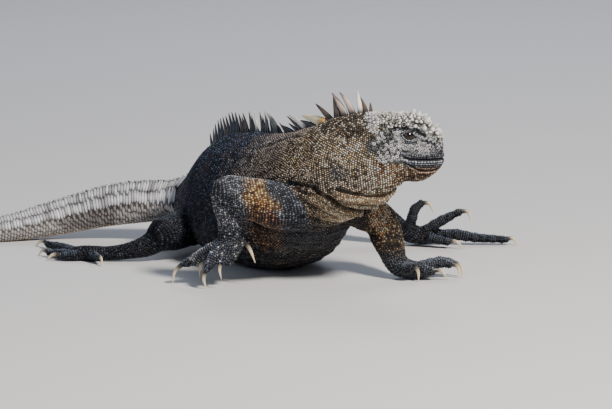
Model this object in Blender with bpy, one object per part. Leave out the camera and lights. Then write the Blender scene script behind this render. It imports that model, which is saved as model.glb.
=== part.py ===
"""A marine iguana at life size, modelled as one still figure that walks over level ground.

The trunk points down -Y and a little to +X, the neck turns the head to face +X, and the tail
runs off to -X. The right foreleg is at the end of its stride, up on its fingertips, the left
foreleg and the left hind leg reach forward, and the right hind leg trails. The origin is the
middle of the belly's flat, and the ground is the plane z = 0.
"""

import math

import bmesh
import bpy
import numpy as np
from mathutils import Vector

# Every size and place in this file is in millimetres, and MM turns it into metres.
MM = 0.001
GAP = 0.3

# The body's stations, from the snout to the tip of the tail. Each one gives the midline's x and
# y, the height of the back and of the underside, the half width, and how square the section is
# above and below its widest level: 2 is an ellipse, more is squarer, less is more pointed.
STATIONS = (
    ("lip_front", 173.2, -118.0, 145.0, 127.0, 5.5, 2.0, 2.0),
    ("snout_tip", 172.0, -118.0, 149.5, 124.0, 9.5, 2.3, 2.2),
    ("nostrils", 168.6, -118.0, 155.5, 119.5, 13.5, 2.4, 2.3),
    ("muzzle", 163.0, -118.0, 162.0, 114.5, 17.0, 2.5, 2.3),
    ("stop", 155.0, -118.0, 172.0, 109.0, 20.0, 2.6, 2.3),
    ("brow", 145.0, -118.0, 176.0, 106.8, 23.0, 2.7, 2.3),
    ("mouth_corner", 131.0, -118.0, 176.5, 105.8, 27.5, 2.7, 2.2),
    ("cheek", 121.0, -118.0, 177.5, 91.0, 30.5, 2.5, 2.0),
    ("jaw_angle", 109.5, -118.0, 178.0, 83.5, 32.5, 2.3, 1.9),
    ("ear", 101.5, -118.0, 178.0, 79.0, 33.5, 2.2, 1.9),
    ("nape", 89.4, -116.2, 177.2, 71.9, 37.0, 2.0, 1.8),
    ("throat_fold", 79.1, -112.4, 174.6, 67.1, 41.0, 1.9, 1.8),
    ("mid_neck", 68.1, -105.5, 171.1, 63.6, 45.0, 1.9, 1.9),
    ("neck_base", 57.6, -95.5, 165.8, 52.8, 49.0, 1.9, 2.0),
    ("shoulders", 48.8, -84.0, 159.1, 38.6, 53.0, 1.9, 2.1),
    ("chest", 38.2, -67.0, 152.6, 23.1, 57.5, 1.9, 2.2),
    ("front_ribs", 26.7, -47.0, 146.5, 8.5, 62.0, 1.9, 2.4),
    ("mid_trunk", 8.0, -12.0, 140.0, -1.5, 66.0, 1.9, 2.5),
    ("belly", -8.0, 18.0, 136.5, -1.5, 67.0, 1.9, 2.5),
    ("flank", -24.0, 45.0, 131.5, -1.0, 65.0, 1.9, 2.4),
    ("loins", -42.0, 72.0, 123.5, 2.0, 56.0, 1.9, 2.3),
    ("front_pelvis", -53.0, 90.0, 111.0, 9.0, 46.0, 1.9, 2.2),
    ("hips", -64.0, 108.0, 94.0, 15.0, 38.0, 1.9, 2.2),
    ("vent", -81.0, 125.0, 76.5, 20.0, 31.0, 1.8, 2.1),
    ("tail_root", -102.0, 136.5, 66.0, 22.0, 25.5, 1.8, 2.1),
    ("tail_thick", -135.0, 144.0, 63.5, 18.5, 22.5, 1.7, 2.1),
    ("tail_a", -166.0, 147.0, 59.5, 14.5, 19.5, 1.7, 2.1),
    ("tail_b", -220.0, 149.0, 44.5, 5.0, 16.0, 1.7, 2.1),
    ("tail_c", -286.0, 135.0, 27.0, -1.0, 13.0, 1.7, 2.2),
    ("tail_d", -364.0, 117.0, 22.5, -0.8, 10.5, 1.7, 2.2),
    ("tail_e", -444.0, 107.0, 18.0, -0.7, 8.5, 1.7, 2.2),
    ("tail_f", -524.0, 109.0, 13.5, -0.6, 6.5, 1.7, 2.2),
    ("tail_g", -584.0, 120.0, 9.5, -0.5, 4.8, 1.8, 2.2),
    ("tail_h", -630.0, 135.0, 5.8, -0.4, 3.2, 1.9, 2.1),
    ("tail_tip", -641.0, 140.0, 3.6, -0.3, 1.9, 2.0, 2.0),
)
# How high the widest level of a section lies, as a share of its height.
WIDEST = 0.44
# Sides of a section of the body and of the tail.
BODY_SIDES = 22
TAIL_SIDES = 10

# Where the body is parted: each length with the stations it runs between and its ring spacing.
BODY_LENGTHS = (
    ("neck", "nape", "neck_base", 9.0, BODY_SIDES),
    ("chest", "neck_base", "front_ribs", 13.0, BODY_SIDES),
    ("trunk", "front_ribs", "front_pelvis", 18.0, BODY_SIDES),
    ("pelvis", "front_pelvis", "tail_root", 11.0, BODY_SIDES),
    ("tail_base", "tail_root", "tail_b", 16.0, TAIL_SIDES),
    ("tail_middle", "tail_b", "tail_d", 22.0, TAIL_SIDES),
    ("tail_end", "tail_d", "tail_f", 26.0, TAIL_SIDES),
    ("tail_tip", "tail_f", "tail_tip", 19.0, TAIL_SIDES),
)

# The closed mouth: height of the line between the lips at the corner and at the front, and how
# far back the lower jaw is parted from the head.
MOUTH_CORNER_X = 131.0
MOUTH_BACK_HEIGHT = 132.5
MOUTH_FRONT_HEIGHT = 130.0

# The eyes and the ear drums, placed on the right side and mirrored across the head's midline.
HEAD_MIDLINE_Y = -118.0
EYE_PLACE = (137.2, 156.5)
EYE_RADIUS = 7.6
EYE_OUT = 18.6
EAR_PLACE = (103.5, 147.3)
EAR_RADIUS = 4.2
EAR_OUT = 27.9
EAR_LENGTH = 2.4
EAR_TURN = 0.12

# The crest: how far apart the spines stand along the back, and how tall they are and how far
# they lean back, in degrees, at the stations named. Neighbours differ by the repeating shares.
CREST_STEP = 8.4
CREST_FIRST = 4.0
CREST_HEIGHTS = (
    ("ear", 5.0, 0.0),
    ("nape", 19.0, 6.0),
    ("throat_fold", 23.0, 18.0),
    ("mid_neck", 24.5, 32.0),
    ("neck_base", 22.5, 44.0),
    ("shoulders", 20.0, 50.0),
    ("chest", 18.0, 52.0),
    ("front_ribs", 20.0, 40.0),
    ("mid_trunk", 21.0, 22.0),
    ("belly", 19.0, 16.0),
    ("flank", 19.0, 14.0),
    ("loins", 21.5, 14.0),
    ("front_pelvis", 24.0, 11.0),
    ("hips", 17.0, 18.0),
    ("tail_root", 5.4, 38.0),
    ("tail_b", 3.4, 46.0),
    ("tail_d", 2.4, 50.0),
)
CREST_SHARES = (1.0, 0.93, 1.06, 0.9, 1.02, 0.96)
CREST_LAST = "tail_d"
SPINE_BASE_SHARE = 0.17
SPINE_BASE_LEAST = 1.2
SPINE_SINK = 3.0

# The legs. Each length of flesh is a run of stops: x, y, z and radius. Each claw starts inside the
# end of its digit, a little above the middle, and goes on through a bend and a tip.
LEGS = {
    "right_fore": {
        "upper": ((32, -104, 82, 26), (8, -120, 84, 24.5), (-20, -122, 91, 21), (-41, -116, 95, 18.5)),
        "lower": ((-39, -115, 97, 13), (-39.5, -114, 86, 18.5), (-37.5, -114, 73, 17), (-37.5, -112.5, 60, 15), (-38.5, -112, 53, 13.6)),
        "palm": ((-38.5, -112.5, 50, 12.6), (-40, -114, 41, 13), (-43, -118, 32, 10.5)),
        "digits": (
            ((-40, -115, 39, 7.5), (-32, -116, 44, 6.4), (-26.5, -116.5, 46.5, 4.6)),
            ((-40, -117, 40, 7.5), (-44, -123, 35, 6.4), (-47.5, -127, 28, 4.8)),
            ((-46, -117, 41, 7.5), (-54.5, -123, 33.5, 6.4), (-60, -127, 26, 5.6), (-63, -129, 20.5, 4.6)),
            ((-46, -113, 43, 7.5), (-62, -112, 35.5, 6.6), (-78, -109, 25, 5.8), (-86, -107, 21.5, 4.6)),
            ((-44, -108, 42, 7.0), (-56, -101, 35, 6.0), (-64, -95, 25, 4.6)),
        ),
        "claws": (
            ((-21, -117, 40, 2.3), (-14.8, -118, 25, 0.6)),
            ((-50, -129.5, 22, 2.4), (-48.5, -128, 10, 0.6)),
            ((-66, -129, 12, 2.4), (-63.5, -127, -0.4, 0.7)),
            ((-94.5, -104, 15, 2.5), (-98.5, -101, -0.4, 0.7)),
            ((-70, -92, 16, 2.2), (-71, -90, 4, 0.6)),
        ),
    },
    "left_fore": {
        "upper": ((64, -86, 82, 20), (79, -74, 77, 21.5), (98, -60, 66, 20), (112, -46, 55, 17.5)),
        "lower": ((110, -48, 59, 12), (115, -53, 48, 17), (119.5, -62, 36, 16.2), (123.5, -69, 26, 13.8)),
        "palm": ((123.5, -70, 22, 12.4), (129, -73, 14.5, 12), (138, -74.5, 10.5, 10.8), (148, -75, 9, 9.5)),
        "digits": (
            ((134, -82, 12, 7.0), (139, -89, 14, 6.0), (142, -92, 16, 4.6)),
            ((142, -79.5, 9.6, 6.8), (153, -83.4, 10.6, 5.9), (163, -84.5, 9.5, 4.4)),
            ((148, -77, 10, 7.0), (161, -75, 14, 6.2), (173, -73, 16, 5.6), (181, -72, 14.5, 4.6)),
            ((148, -71, 10, 7.0), (162, -66, 14, 6.2), (175, -63, 16, 5.6), (184, -63, 14.5, 4.6)),
            ((142, -68, 9, 6.4), (152, -57, 9, 5.6), (160, -48, 8, 4.4)),
        ),
        "claws": (
            ((147.5, -91, 13, 2.4), (149.5, -89, -0.4, 0.7)),
            ((171, -83, 10, 2.3), (179.5, -79, -0.4, 0.7)),
            ((189, -71, 12, 2.4), (190.5, -71, -0.4, 0.7)),
            ((192, -65, 12, 2.4), (194.5, -68, -0.4, 0.7)),
            ((166, -43, 7, 2.2), (171, -38, -0.4, 0.7)),
        ),
    },
    "right_hind": {
        "upper": ((-66, 100, 46, 22), (-79, 66, 34, 21), (-95, 38, 29, 19.5), (-110, 24, 28, 18)),
        "lower": ((-106, 27, 29, 12), (-124, 21.5, 18, 12.2), (-142, 21.5, 12, 9.8), (-158, 22, 9, 8.5), (-173, 23, 8, 7.8)),
        "palm": ((-176, 23.3, 8, 8.4), (-190, 26, 7, 9.4), (-200, 32, 6, 8.6)),
        "digits": (
            ((-188, 22, 7, 5.6), (-181, 12, 7, 5.0), (-177, 5, 6.5, 4.0)),
            ((-195, 24, 6, 6.0), (-205, 21, 6, 5.2), (-217, 22, 5, 4.0)),
            ((-200, 27, 6, 6.4), (-210, 30, 6, 5.6), (-223, 37, 5.4, 5.0), (-230, 43, 4.6, 4.0)),
            ((-200, 35, 6, 6.6), (-210, 52, 6.5, 5.8), (-222, 72, 6, 5.2), (-234, 91, 5, 4.2)),
            ((-188, 32, 6, 5.8), (-190, 44, 6, 5.0), (-196, 55, 5, 4.0)),
        ),
        "claws": (
            ((-174, -2, 7.5, 2.1), (-173, -8, -0.3, 0.6)),
            ((-225, 23, 6.5, 2.1), (-232, 25, -0.3, 0.6)),
            ((-237, 49, 6, 2.1), (-242, 55, -0.3, 0.6)),
            ((-241, 100, 6.5, 2.2), (-248, 109, -0.3, 0.6)),
            ((-200, 61, 6, 2.0), (-205, 68, -0.3, 0.6)),
        ),
    },
    "left_hind": {
        "upper": ((-34, 116, 56, 24), (-8, 124, 57, 23), (30, 130, 59, 20.5), (60, 134, 60, 18)),
        "lower": ((56, 134, 60, 12), (78, 130, 52, 16.5), (105, 119, 38, 13.5), (126, 112, 26, 10.5), (136, 109.5, 18, 9.5)),
        "palm": ((132, 110, 20, 10), (145, 107, 14, 10.5), (160, 106, 11, 9.5)),
        "digits": (
            ((142, 104, 18, 6.6), (146.5, 100, 28, 6.0), (149, 99, 40, 5.4), (156, 98, 47, 4.4)),
            ((158, 104, 14, 6.6), (173, 102, 25, 6.0), (188, 101, 33.5, 5.2), (197, 101, 37.5, 4.3)),
            ((160, 101, 10, 6.2), (172, 96, 9, 5.4), (184, 92, 7, 4.4)),
            ((160, 109, 11, 6.8), (188, 111, 12, 6.2), (216, 112, 8, 5.6), (246, 112, 6, 4.4)),
            ((146, 114, 12, 6.4), (158, 126, 9, 5.4), (166, 136, 6.5, 4.2)),
        ),
        "claws": (
            ((164.5, 97, 47, 2.3), (169.5, 97, 36.5, 0.6)),
            ((205, 101, 37.5, 2.3), (209, 101, 25.5, 0.6)),
            ((193, 89, 8, 2.2), (201, 87, -0.3, 0.6)),
            ((253, 112, 7, 2.2), (258.5, 112, -0.3, 0.6)),
            ((171, 142, 7, 2.1), (175, 148, -0.3, 0.6)),
        ),
    },
}
# Sides of the sections of a leg, a digit and a claw.
LEG_SIDES = 12
DIGIT_SIDES = 6
CLAW_SIDES = 5
# The exact solver loses the palm where a digit of the left hand joins it, so digits use this one.
DIGIT_SOLVER = "MANIFOLD"
# A claw is a blade: its width as a share of its depth. It starts inside its digit with this radius,
# this far above the digit's middle.
CLAW_SQUASH = 0.74
CLAW_ROOT = 2.8
CLAW_LIFT = 0.9

# Colour as sRGB hex, roughness and metallic value of each part's material.
SKINS = {
    "face": ("9a9692", 0.75, 0.0),
    "neck": ("7d6a52", 0.75, 0.0),
    "trunk": ("3f3f44", 0.72, 0.0),
    "tail": ("8e8984", 0.8, 0.0),
    "foreleg": ("8a8076", 0.75, 0.0),
    "hind_leg": ("33353b", 0.72, 0.0),
    "claw": ("d8d0bf", 0.35, 0.0),
    "eye": ("2a1a12", 0.1, 0.0),
    "ear": ("4a5560", 0.6, 0.0),
}


def hex_colour(text):
    """An sRGB hex colour as linear red, green, blue and alpha."""
    parts = [int(text[i : i + 2], 16) / 255 for i in (0, 2, 4)]
    linear = [p / 12.92 if p <= 0.04045 else ((p + 0.055) / 1.055) ** 2.4 for p in parts]
    return (*linear, 1.0)


def material_for(node, look):
    """A material of its own for one node."""
    colour, roughness, metallic = SKINS[look]
    material = bpy.data.materials.new(f"{node}_{look}")
    material.use_nodes = True
    shader = material.node_tree.nodes["Principled BSDF"]
    shader.inputs["Base Color"].default_value = hex_colour(colour)
    shader.inputs["Roughness"].default_value = roughness
    shader.inputs["Metallic"].default_value = metallic
    material.diffuse_color = hex_colour(colour)
    return material


def smooth(keys, values, where):
    """Read at the places `where` a smooth curve that passes through values at keys."""
    keys = np.asarray(keys, float)
    values = np.asarray(values, float)
    where = np.atleast_1d(np.asarray(where, float))
    slopes = np.gradient(values, keys, axis=0)
    i = np.clip(np.searchsorted(keys, where, side="right") - 1, 0, len(keys) - 2)
    span = keys[i + 1] - keys[i]
    t = (where - keys[i]) / span
    if values.ndim > 1:
        t = t[:, None]
        span = span[:, None]
    from_value = (1 + 2 * t) * (1 - t) ** 2 * values[i] + t * t * (3 - 2 * t) * values[i + 1]
    from_slope = span * (t * (1 - t) ** 2 * slopes[i] - t * t * (1 - t) * slopes[i + 1])
    return from_value + from_slope


STATION_NAMES = [row[0] for row in STATIONS]
STATION_VALUES = np.array([row[1:] for row in STATIONS], float)
STATION_KEYS = np.concatenate(
    ([0.0], np.cumsum(np.hypot(*np.diff(STATION_VALUES[:, :2], axis=0).T)))
)


def station_key(name):
    """How far along the midline a station lies, from the snout."""
    return STATION_KEYS[STATION_NAMES.index(name)]


def body_at(key):
    """The body's midline point, forward direction and section sizes at a distance from the snout."""
    x, y, top, bottom, half, roof, keel = smooth(STATION_KEYS, STATION_VALUES, key)[0]
    ahead = smooth(STATION_KEYS, STATION_VALUES, max(key - 1.0, 0.0))[0]
    behind = smooth(STATION_KEYS, STATION_VALUES, min(key + 1.0, STATION_KEYS[-1]))[0]
    forward = Vector((ahead[0] - behind[0], ahead[1] - behind[1], 0.0)).normalized()
    return Vector((x, y, 0.0)), forward, top, bottom, half, roof, keel


def power(value, exponent):
    """A signed power, for the superellipse."""
    return math.copysign(abs(value) ** exponent, value)


def body_ring(key, sides, grow=0.0):
    """The points round the body at a distance from the snout, in a plane across the midline."""
    middle, forward, top, bottom, half, roof, keel = body_at(key)
    left = Vector((-forward.y, forward.x, 0.0))
    level = bottom + WIDEST * (top - bottom)
    points = []
    for i in range(sides):
        angle = 2 * math.pi * i / sides
        across, rise = math.cos(angle), math.sin(angle)
        square = roof if rise >= 0 else keel
        reach = (top - level if rise >= 0 else level - bottom) + grow
        height = level + reach * power(rise, 2 / square)
        points.append(middle + left * (half + grow) * power(across, 2 / square) + Vector((0, 0, height)))
    return points


def loft(bm, rings, start=None, end=None):
    """Skin a run of rings with quads and close both ends, to a point where one is given."""
    rows = [[bm.verts.new(p * MM) for p in ring] for ring in rings]
    for one, two in zip(rows, rows[1:]):
        for i in range(len(one)):
            j = (i + 1) % len(one)
            bm.faces.new((one[i], one[j], two[j], two[i]))
    for row, tip in ((rows[0], start), (rows[-1], end)):
        if tip is None:
            bm.faces.new(row)
            continue
        point = bm.verts.new(tip * MM)
        for i in range(len(row)):
            bm.faces.new((row[i], row[(i + 1) % len(row)], point))


def add_object(name, bm, look=None):
    """Turn a bmesh into an object. One with no look is a cutter, which isn't rendered."""
    bm.normal_update()
    bmesh.ops.recalc_face_normals(bm, faces=bm.faces)
    if bm.calc_volume(signed=True) < 0:
        bmesh.ops.reverse_faces(bm, faces=bm.faces)
    mesh = bpy.data.meshes.new(name)
    bm.to_mesh(mesh)
    bm.free()
    mesh.shade_smooth()
    mesh.set_sharp_from_angle(angle=math.radians(50))
    made = bpy.data.objects.new(name, mesh)
    bpy.context.scene.collection.objects.link(made)
    made.parent = bpy.data.objects["iguana"]
    if look is None:
        made.hide_render = True
        made.display_type = "WIRE"
    else:
        mesh.materials.append(material_for(name, look))
    return made


def boolean(target, other, operation, solver="EXACT"):
    """Cut, join or keep what is shared, with Blender's exact solver unless another is named."""
    step = target.modifiers.new(f"{operation.lower()}_{other.name}", "BOOLEAN")
    step.operation = operation
    step.solver = solver
    step.object = other
    return step


def body_length(name, first, last, spacing, sides, look=None, grow=0.0):
    """One length of the body, between two stations or keys, with half a gap off each end."""
    start = station_key(first) if isinstance(first, str) else first
    stop = station_key(last) if isinstance(last, str) else last
    start += GAP / 2
    stop -= GAP / 2
    count = max(2, round((stop - start) / spacing) + 1)
    bm = bmesh.new()
    loft(bm, [body_ring(key, sides, grow) for key in np.linspace(start, stop, count)])
    return add_object(name, bm, look)


def rings_along(stops, sides, spacing, squash=1.0, grow=0.0, round_start=True, round_end=True):
    """Rings along a smooth line through the stops, with the points that close its two ends."""
    stops = np.asarray(stops, float)
    keys = np.concatenate(([0.0], np.cumsum(np.linalg.norm(np.diff(stops[:, :3], axis=0), axis=1))))
    count = max(3, round(keys[-1] / spacing) + 1)
    places = np.linspace(0.0, keys[-1], count)
    line = smooth(keys, stops, places)
    tangents = np.gradient(line[:, :3], places, axis=0)
    side = None
    frames = []
    for point, tangent in zip(line, tangents):
        along = Vector(tangent).normalized()
        if side is None:
            side = along.cross(Vector((0, 0, 1)))
            side = side.normalized() if side.length > 0.2 else Vector((1, 0, 0))
        side = (side - along * side.dot(along)).normalized()
        frames.append((Vector(point[:3]), along, side, point[3] + grow))

    def ring(middle, along, side, radius):
        up = side.cross(along)
        turn = [2 * math.pi * i / sides for i in range(sides)]
        return [middle + side * radius * squash * math.cos(a) + up * radius * math.sin(a) for a in turn]

    rings = [ring(*frame) for frame in frames]
    ends = [frames[0][0], frames[-1][0]]
    for first, rounded in ((True, round_start), (False, round_end)):
        if not rounded:
            continue
        middle, along, side, radius = frames[0 if first else -1]
        out = -along if first else along
        turns = (0.5, 1.05) if sides >= LEG_SIDES else (0.75,)
        cap = [ring(middle + out * radius * math.sin(a), along, side, radius * math.cos(a)) for a in turns]
        rings = cap[::-1] + rings if first else rings + cap
        ends[0 if first else 1] = middle + out * radius
    return rings, ends[0], ends[1]


def tube(name, stops, sides, spacing, look=None, **shape):
    """A round-ended piece of flesh or horn along its stops."""
    bm = bmesh.new()
    rings, start, end = rings_along(stops, sides, spacing, **shape)
    loft(bm, rings, start, end)
    return add_object(name, bm, look)


def ball(name, place, radius, look=None):
    """A sphere, for an eye or the socket it sits in."""
    bm = bmesh.new()
    bmesh.ops.create_uvsphere(bm, u_segments=12, v_segments=8, radius=radius * MM)
    for vert in bm.verts:
        vert.co = vert.co.xzy + Vector(place) * MM
    return add_object(name, bm, look)


def disc(name, place, facing, radius, length, look=None):
    """A short round plug for an ear drum or its recess. It points a little back, as the ear does."""
    bm = bmesh.new()
    bmesh.ops.create_cone(
        bm, cap_ends=True, segments=16, radius1=radius * MM, radius2=radius * MM, depth=length * MM
    )
    turn = facing.to_track_quat("Z", "Y")
    for vert in bm.verts:
        vert.co = turn @ vert.co + Vector(place) * MM
    return add_object(name, bm, look)


def box(name, low, high):
    """A cutter with its two far corners given."""
    bm = bmesh.new()
    bmesh.ops.create_cube(bm, size=1.0)
    for vert in bm.verts:
        vert.co = Vector([(low[i] if vert.co[i] < 0 else high[i]) * MM for i in range(3)])
    return add_object(name, bm)


def mouth_block(name, drop):
    """A cutter that holds all of the muzzle below the line between the lips."""
    bm = bmesh.new()
    outline = (
        (MOUTH_CORNER_X + drop, 60.0),
        (MOUTH_CORNER_X + drop, MOUTH_BACK_HEIGHT - drop),
        (200.0, MOUTH_FRONT_HEIGHT - 1.7 - drop),
        (200.0, 60.0),
    )
    sides = [[Vector((x, HEAD_MIDLINE_Y + y, z)) for x, z in outline] for y in (-60.0, 60.0)]
    loft(bm, sides)
    return add_object(name, bm)


def crest_spine(bm, key, height, lean):
    """One flat, pointed spine on the back, leaning to the tail."""
    middle, forward, top, bottom, half, roof, keel = body_at(key)
    side = Vector((-forward.y, forward.x, 0.0))
    axis = Vector((0, 0, 1)) * math.cos(lean) - forward * math.sin(lean)
    base = middle + Vector((0, 0, top - SPINE_SINK))
    length = height + SPINE_SINK
    width = max(height * SPINE_BASE_SHARE, SPINE_BASE_LEAST)
    rings = []
    for share, size in ((0.0, 1.15), (0.55, 0.78)):
        centre = base + axis * length * share - forward * length * 0.05 * share * share
        flat = [(width * size, 0), (0, width * size * 0.55), (-width * size, 0), (0, -width * size * 0.55)]
        rings.append([centre + forward * a + side * b for a, b in flat])
    loft(bm, rings, None, base + axis * length - forward * length * 0.08)


def crest_between(name, first, last):
    """All the spines that grow from one length of the body, as one mesh to join to it."""
    start, stop = station_key(first), station_key(last)
    keys = [station_key(row[0]) for row in CREST_HEIGHTS]
    sizes = np.array([row[1:] for row in CREST_HEIGHTS], float)
    key = station_key("ear") + CREST_FIRST
    bm = bmesh.new()
    number = 0
    while key < station_key(CREST_LAST):
        height, lean = smooth(keys, sizes, key)[0]
        height *= CREST_SHARES[number % len(CREST_SHARES)]
        reach = SPINE_BASE_LEAST + height * SPINE_BASE_SHARE + 0.6
        if start <= key < stop:
            place = min(max(key, start + reach), stop - reach)
            crest_spine(bm, place, height, math.radians(lean))
        key += CREST_STEP if key < station_key("hips") else CREST_STEP * 1.6
        number += 1
    return add_object(name, bm)


def build_head():
    """The head parted into skull and lower jaw, with its eyes and ear drums."""
    keys = np.concatenate(
        (
            [0.05, *STATION_KEYS[1:4]],
            np.linspace(STATION_KEYS[4], station_key("nape") - GAP / 2, 12),
        )
    )
    pieces = []
    for name in ("head", "lower_jaw"):
        bm = bmesh.new()
        loft(bm, [body_ring(key, BODY_SIDES) for key in keys])
        pieces.append(add_object(name, bm, "face"))
    head, jaw = pieces
    boolean(head, crest_between("spines_head", "ear", "nape"), "UNION").use_self = True
    boolean(head, mouth_block("cut_mouth", 0.0), "DIFFERENCE")
    boolean(jaw, mouth_block("keep_jaw", GAP), "INTERSECT")
    sides = (("right", -1), ("left", 1))
    for side, sign in sides:
        ear = (EAR_PLACE[0], body_at(station_key("ear"))[0].y + sign * EAR_OUT, EAR_PLACE[1])
        facing = Vector((-EAR_TURN, sign, 0.06)).normalized()
        outside = Vector(ear) + facing * 7.0
        recess = disc(f"cut_ear_{side}", outside, facing, EAR_RADIUS + GAP, EAR_LENGTH + 14.0 + 2 * GAP)
        boolean(head, recess, "DIFFERENCE")
        disc(f"ear_{side}", ear, facing, EAR_RADIUS, EAR_LENGTH, "ear")
    for side, sign in sides:
        eye = (EYE_PLACE[0], HEAD_MIDLINE_Y + sign * EYE_OUT, EYE_PLACE[1])
        boolean(head, ball(f"cut_eye_{side}", eye, EYE_RADIUS + GAP), "DIFFERENCE")
        ball(f"eye_{side}", eye, EYE_RADIUS, "eye")


def build_body(floor):
    """The neck, the lengths of the trunk and the tail, each with its part of the crest."""
    for name, first, last, spacing, sides in BODY_LENGTHS:
        if name.startswith("tail"):
            look = "tail"
        elif name == "neck":
            look = "neck"
        else:
            look = "trunk"
        piece = body_length(name, first, last, spacing, sides, look)
        if station_key(first) < station_key(CREST_LAST):
            boolean(piece, crest_between(f"spines_{name}", first, last), "UNION").use_self = True
        if min(body_at(k)[3] for k in np.linspace(station_key(first), station_key(last), 9)) < 1.0:
            boolean(piece, floor, "DIFFERENCE")


def build_leg(leg, parts, body, floor):
    """A leg in three pieces, with the digits joined to the foot, and its claws."""
    fore = leg.endswith("fore")
    look = "foreleg" if fore else "hind_leg"
    upper_name, lower_name, foot_name = (
        ("upper_arm", "forearm", "hand") if fore else ("thigh", "shank", "foot")
    )
    side = leg.split("_")[0]
    upper = tube(f"{side}_{upper_name}", parts["upper"], LEG_SIDES, 16.0, look)
    boolean(upper, body, "DIFFERENCE")
    cut_upper = tube(f"cut_{side}_{upper_name}", parts["upper"], LEG_SIDES, 16.0, grow=GAP)
    lower = tube(f"{side}_{lower_name}", parts["lower"], LEG_SIDES, 14.0, look)
    boolean(lower, cut_upper, "DIFFERENCE")
    boolean(lower, body, "DIFFERENCE")
    cut_lower = tube(f"cut_{side}_{lower_name}", parts["lower"], LEG_SIDES, 14.0, grow=GAP)
    foot = tube(f"{side}_{foot_name}", parts["palm"], LEG_SIDES - 2, 14.0, look)
    for number, stops in enumerate(parts["digits"], 1):
        digit = tube(f"join_{side}_{foot_name}_digit_{number}", stops, DIGIT_SIDES, 13.0)
        boolean(foot, digit, "UNION", DIGIT_SOLVER)
    boolean(foot, cut_lower, "DIFFERENCE")
    boolean(lower, floor, "DIFFERENCE")
    boolean(foot, floor, "DIFFERENCE")
    for number, (bend_and_tip, digit) in enumerate(zip(parts["claws"], parts["digits"]), 1):
        x, y, z, radius = digit[-1]
        stops = ((x, y, z + CLAW_LIFT, CLAW_ROOT), *bend_and_tip)
        name = f"{side}_{foot_name}_claw_{number}"
        claw = tube(name, stops, CLAW_SIDES, 9.0, "claw", squash=CLAW_SQUASH)
        cut_digit = tube(
            f"cut_{side}_{foot_name}_digit_{number}", digit, DIGIT_SIDES, 13.0, grow=GAP
        )
        boolean(claw, cut_digit, "DIFFERENCE")
        boolean(claw, floor, "DIFFERENCE")


for old in list(bpy.data.objects):
    bpy.data.objects.remove(old, do_unlink=True)

root = bpy.data.objects.new("iguana", None)
bpy.context.scene.collection.objects.link(root)

ground = box("cut_ground", (-900.0, -400.0, -60.0), (600.0, 500.0, 0.0))
build_head()
build_body(ground)
whole_body = body_length("cut_body", "brow", "tail_thick", 6.0, BODY_SIDES, grow=4 * GAP)
for leg_name, leg_parts in LEGS.items():
    build_leg(leg_name, leg_parts, whole_body, ground)
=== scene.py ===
import math

import bmesh
import bpy
import numpy as np
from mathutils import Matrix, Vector
from mathutils.bvhtree import BVHTree
from mathutils.kdtree import KDTree


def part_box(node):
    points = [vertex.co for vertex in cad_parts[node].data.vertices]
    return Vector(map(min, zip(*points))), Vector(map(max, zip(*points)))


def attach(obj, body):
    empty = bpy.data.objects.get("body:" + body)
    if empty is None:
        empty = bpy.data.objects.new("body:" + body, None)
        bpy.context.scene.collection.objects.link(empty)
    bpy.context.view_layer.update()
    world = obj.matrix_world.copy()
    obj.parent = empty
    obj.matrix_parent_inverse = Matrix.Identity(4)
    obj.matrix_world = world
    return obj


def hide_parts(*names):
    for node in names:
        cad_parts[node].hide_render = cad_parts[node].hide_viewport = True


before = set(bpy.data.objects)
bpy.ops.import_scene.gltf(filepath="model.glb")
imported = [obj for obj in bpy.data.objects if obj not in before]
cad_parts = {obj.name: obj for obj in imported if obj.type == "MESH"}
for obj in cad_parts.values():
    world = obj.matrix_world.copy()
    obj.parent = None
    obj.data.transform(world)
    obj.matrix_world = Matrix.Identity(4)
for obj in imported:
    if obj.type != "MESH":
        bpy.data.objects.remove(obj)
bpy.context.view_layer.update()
bpy.ops.object.select_all(action="DESELECT")

# The view: low and square to the right flank, from far off with a long lens, so that the head,
# the stride and the whole crest read in profile. The aim is the point that fills the frame's middle.
VIEW_DISTANCE = 4.5
VIEW_WIDTH = 0.612
VIEW_TILT = math.radians(10.0)
SENSOR_WIDTH = 36.0
view_aim = Vector((0.036, -0.105, 0.0817))
view_line = Vector((0.0, math.cos(VIEW_TILT), -math.sin(VIEW_TILT)))
lens = bpy.data.cameras.new("profile_view")
lens.sensor_width = SENSOR_WIDTH
lens.lens = SENSOR_WIDTH * VIEW_DISTANCE / VIEW_WIDTH
lens.clip_end = 50.0
camera = bpy.data.objects.new("profile_view", lens)
bpy.context.scene.collection.objects.link(camera)
camera.location = view_aim - view_line * VIEW_DISTANCE
camera.rotation_euler = view_line.to_track_quat("-Z", "Y").to_euler()
bpy.context.scene.camera = camera


# The floor: a plain pale matt board, wide enough for every view. It is painted, so the eye gets
# nothing from it but the animal's soft shadow.
def hex_colour(text):
    """An sRGB hex colour as linear red, green and blue."""
    parts = np.array([int(text[i : i + 2], 16) / 255 for i in (0, 2, 4)])
    return np.where(parts <= 0.04045, parts / 12.92, ((parts + 0.055) / 1.055) ** 2.4)


def add_node(material, kind, values=None, sources=None, **settings):
    """Add one shader node, with its settings, its sockets' values and the outputs that feed it."""
    made = material.node_tree.nodes.new(kind)
    for key, value in settings.items():
        setattr(made, key, value)
    for key, value in (values or {}).items():
        made.inputs[key].default_value = value
    for key, output in (sources or {}).items():
        material.node_tree.links.new(output, made.inputs[key])
    return made


def new_material(name, roughness, specular=0.5):
    """A material with its shader, and the shader's steady values set on its own sockets."""
    material = bpy.data.materials.new(name)
    material.use_nodes = True
    shader = material.node_tree.nodes["Principled BSDF"]
    shader.inputs["Roughness"].default_value = roughness
    shader.inputs["Specular IOR Level"].default_value = specular
    return material, shader


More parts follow.
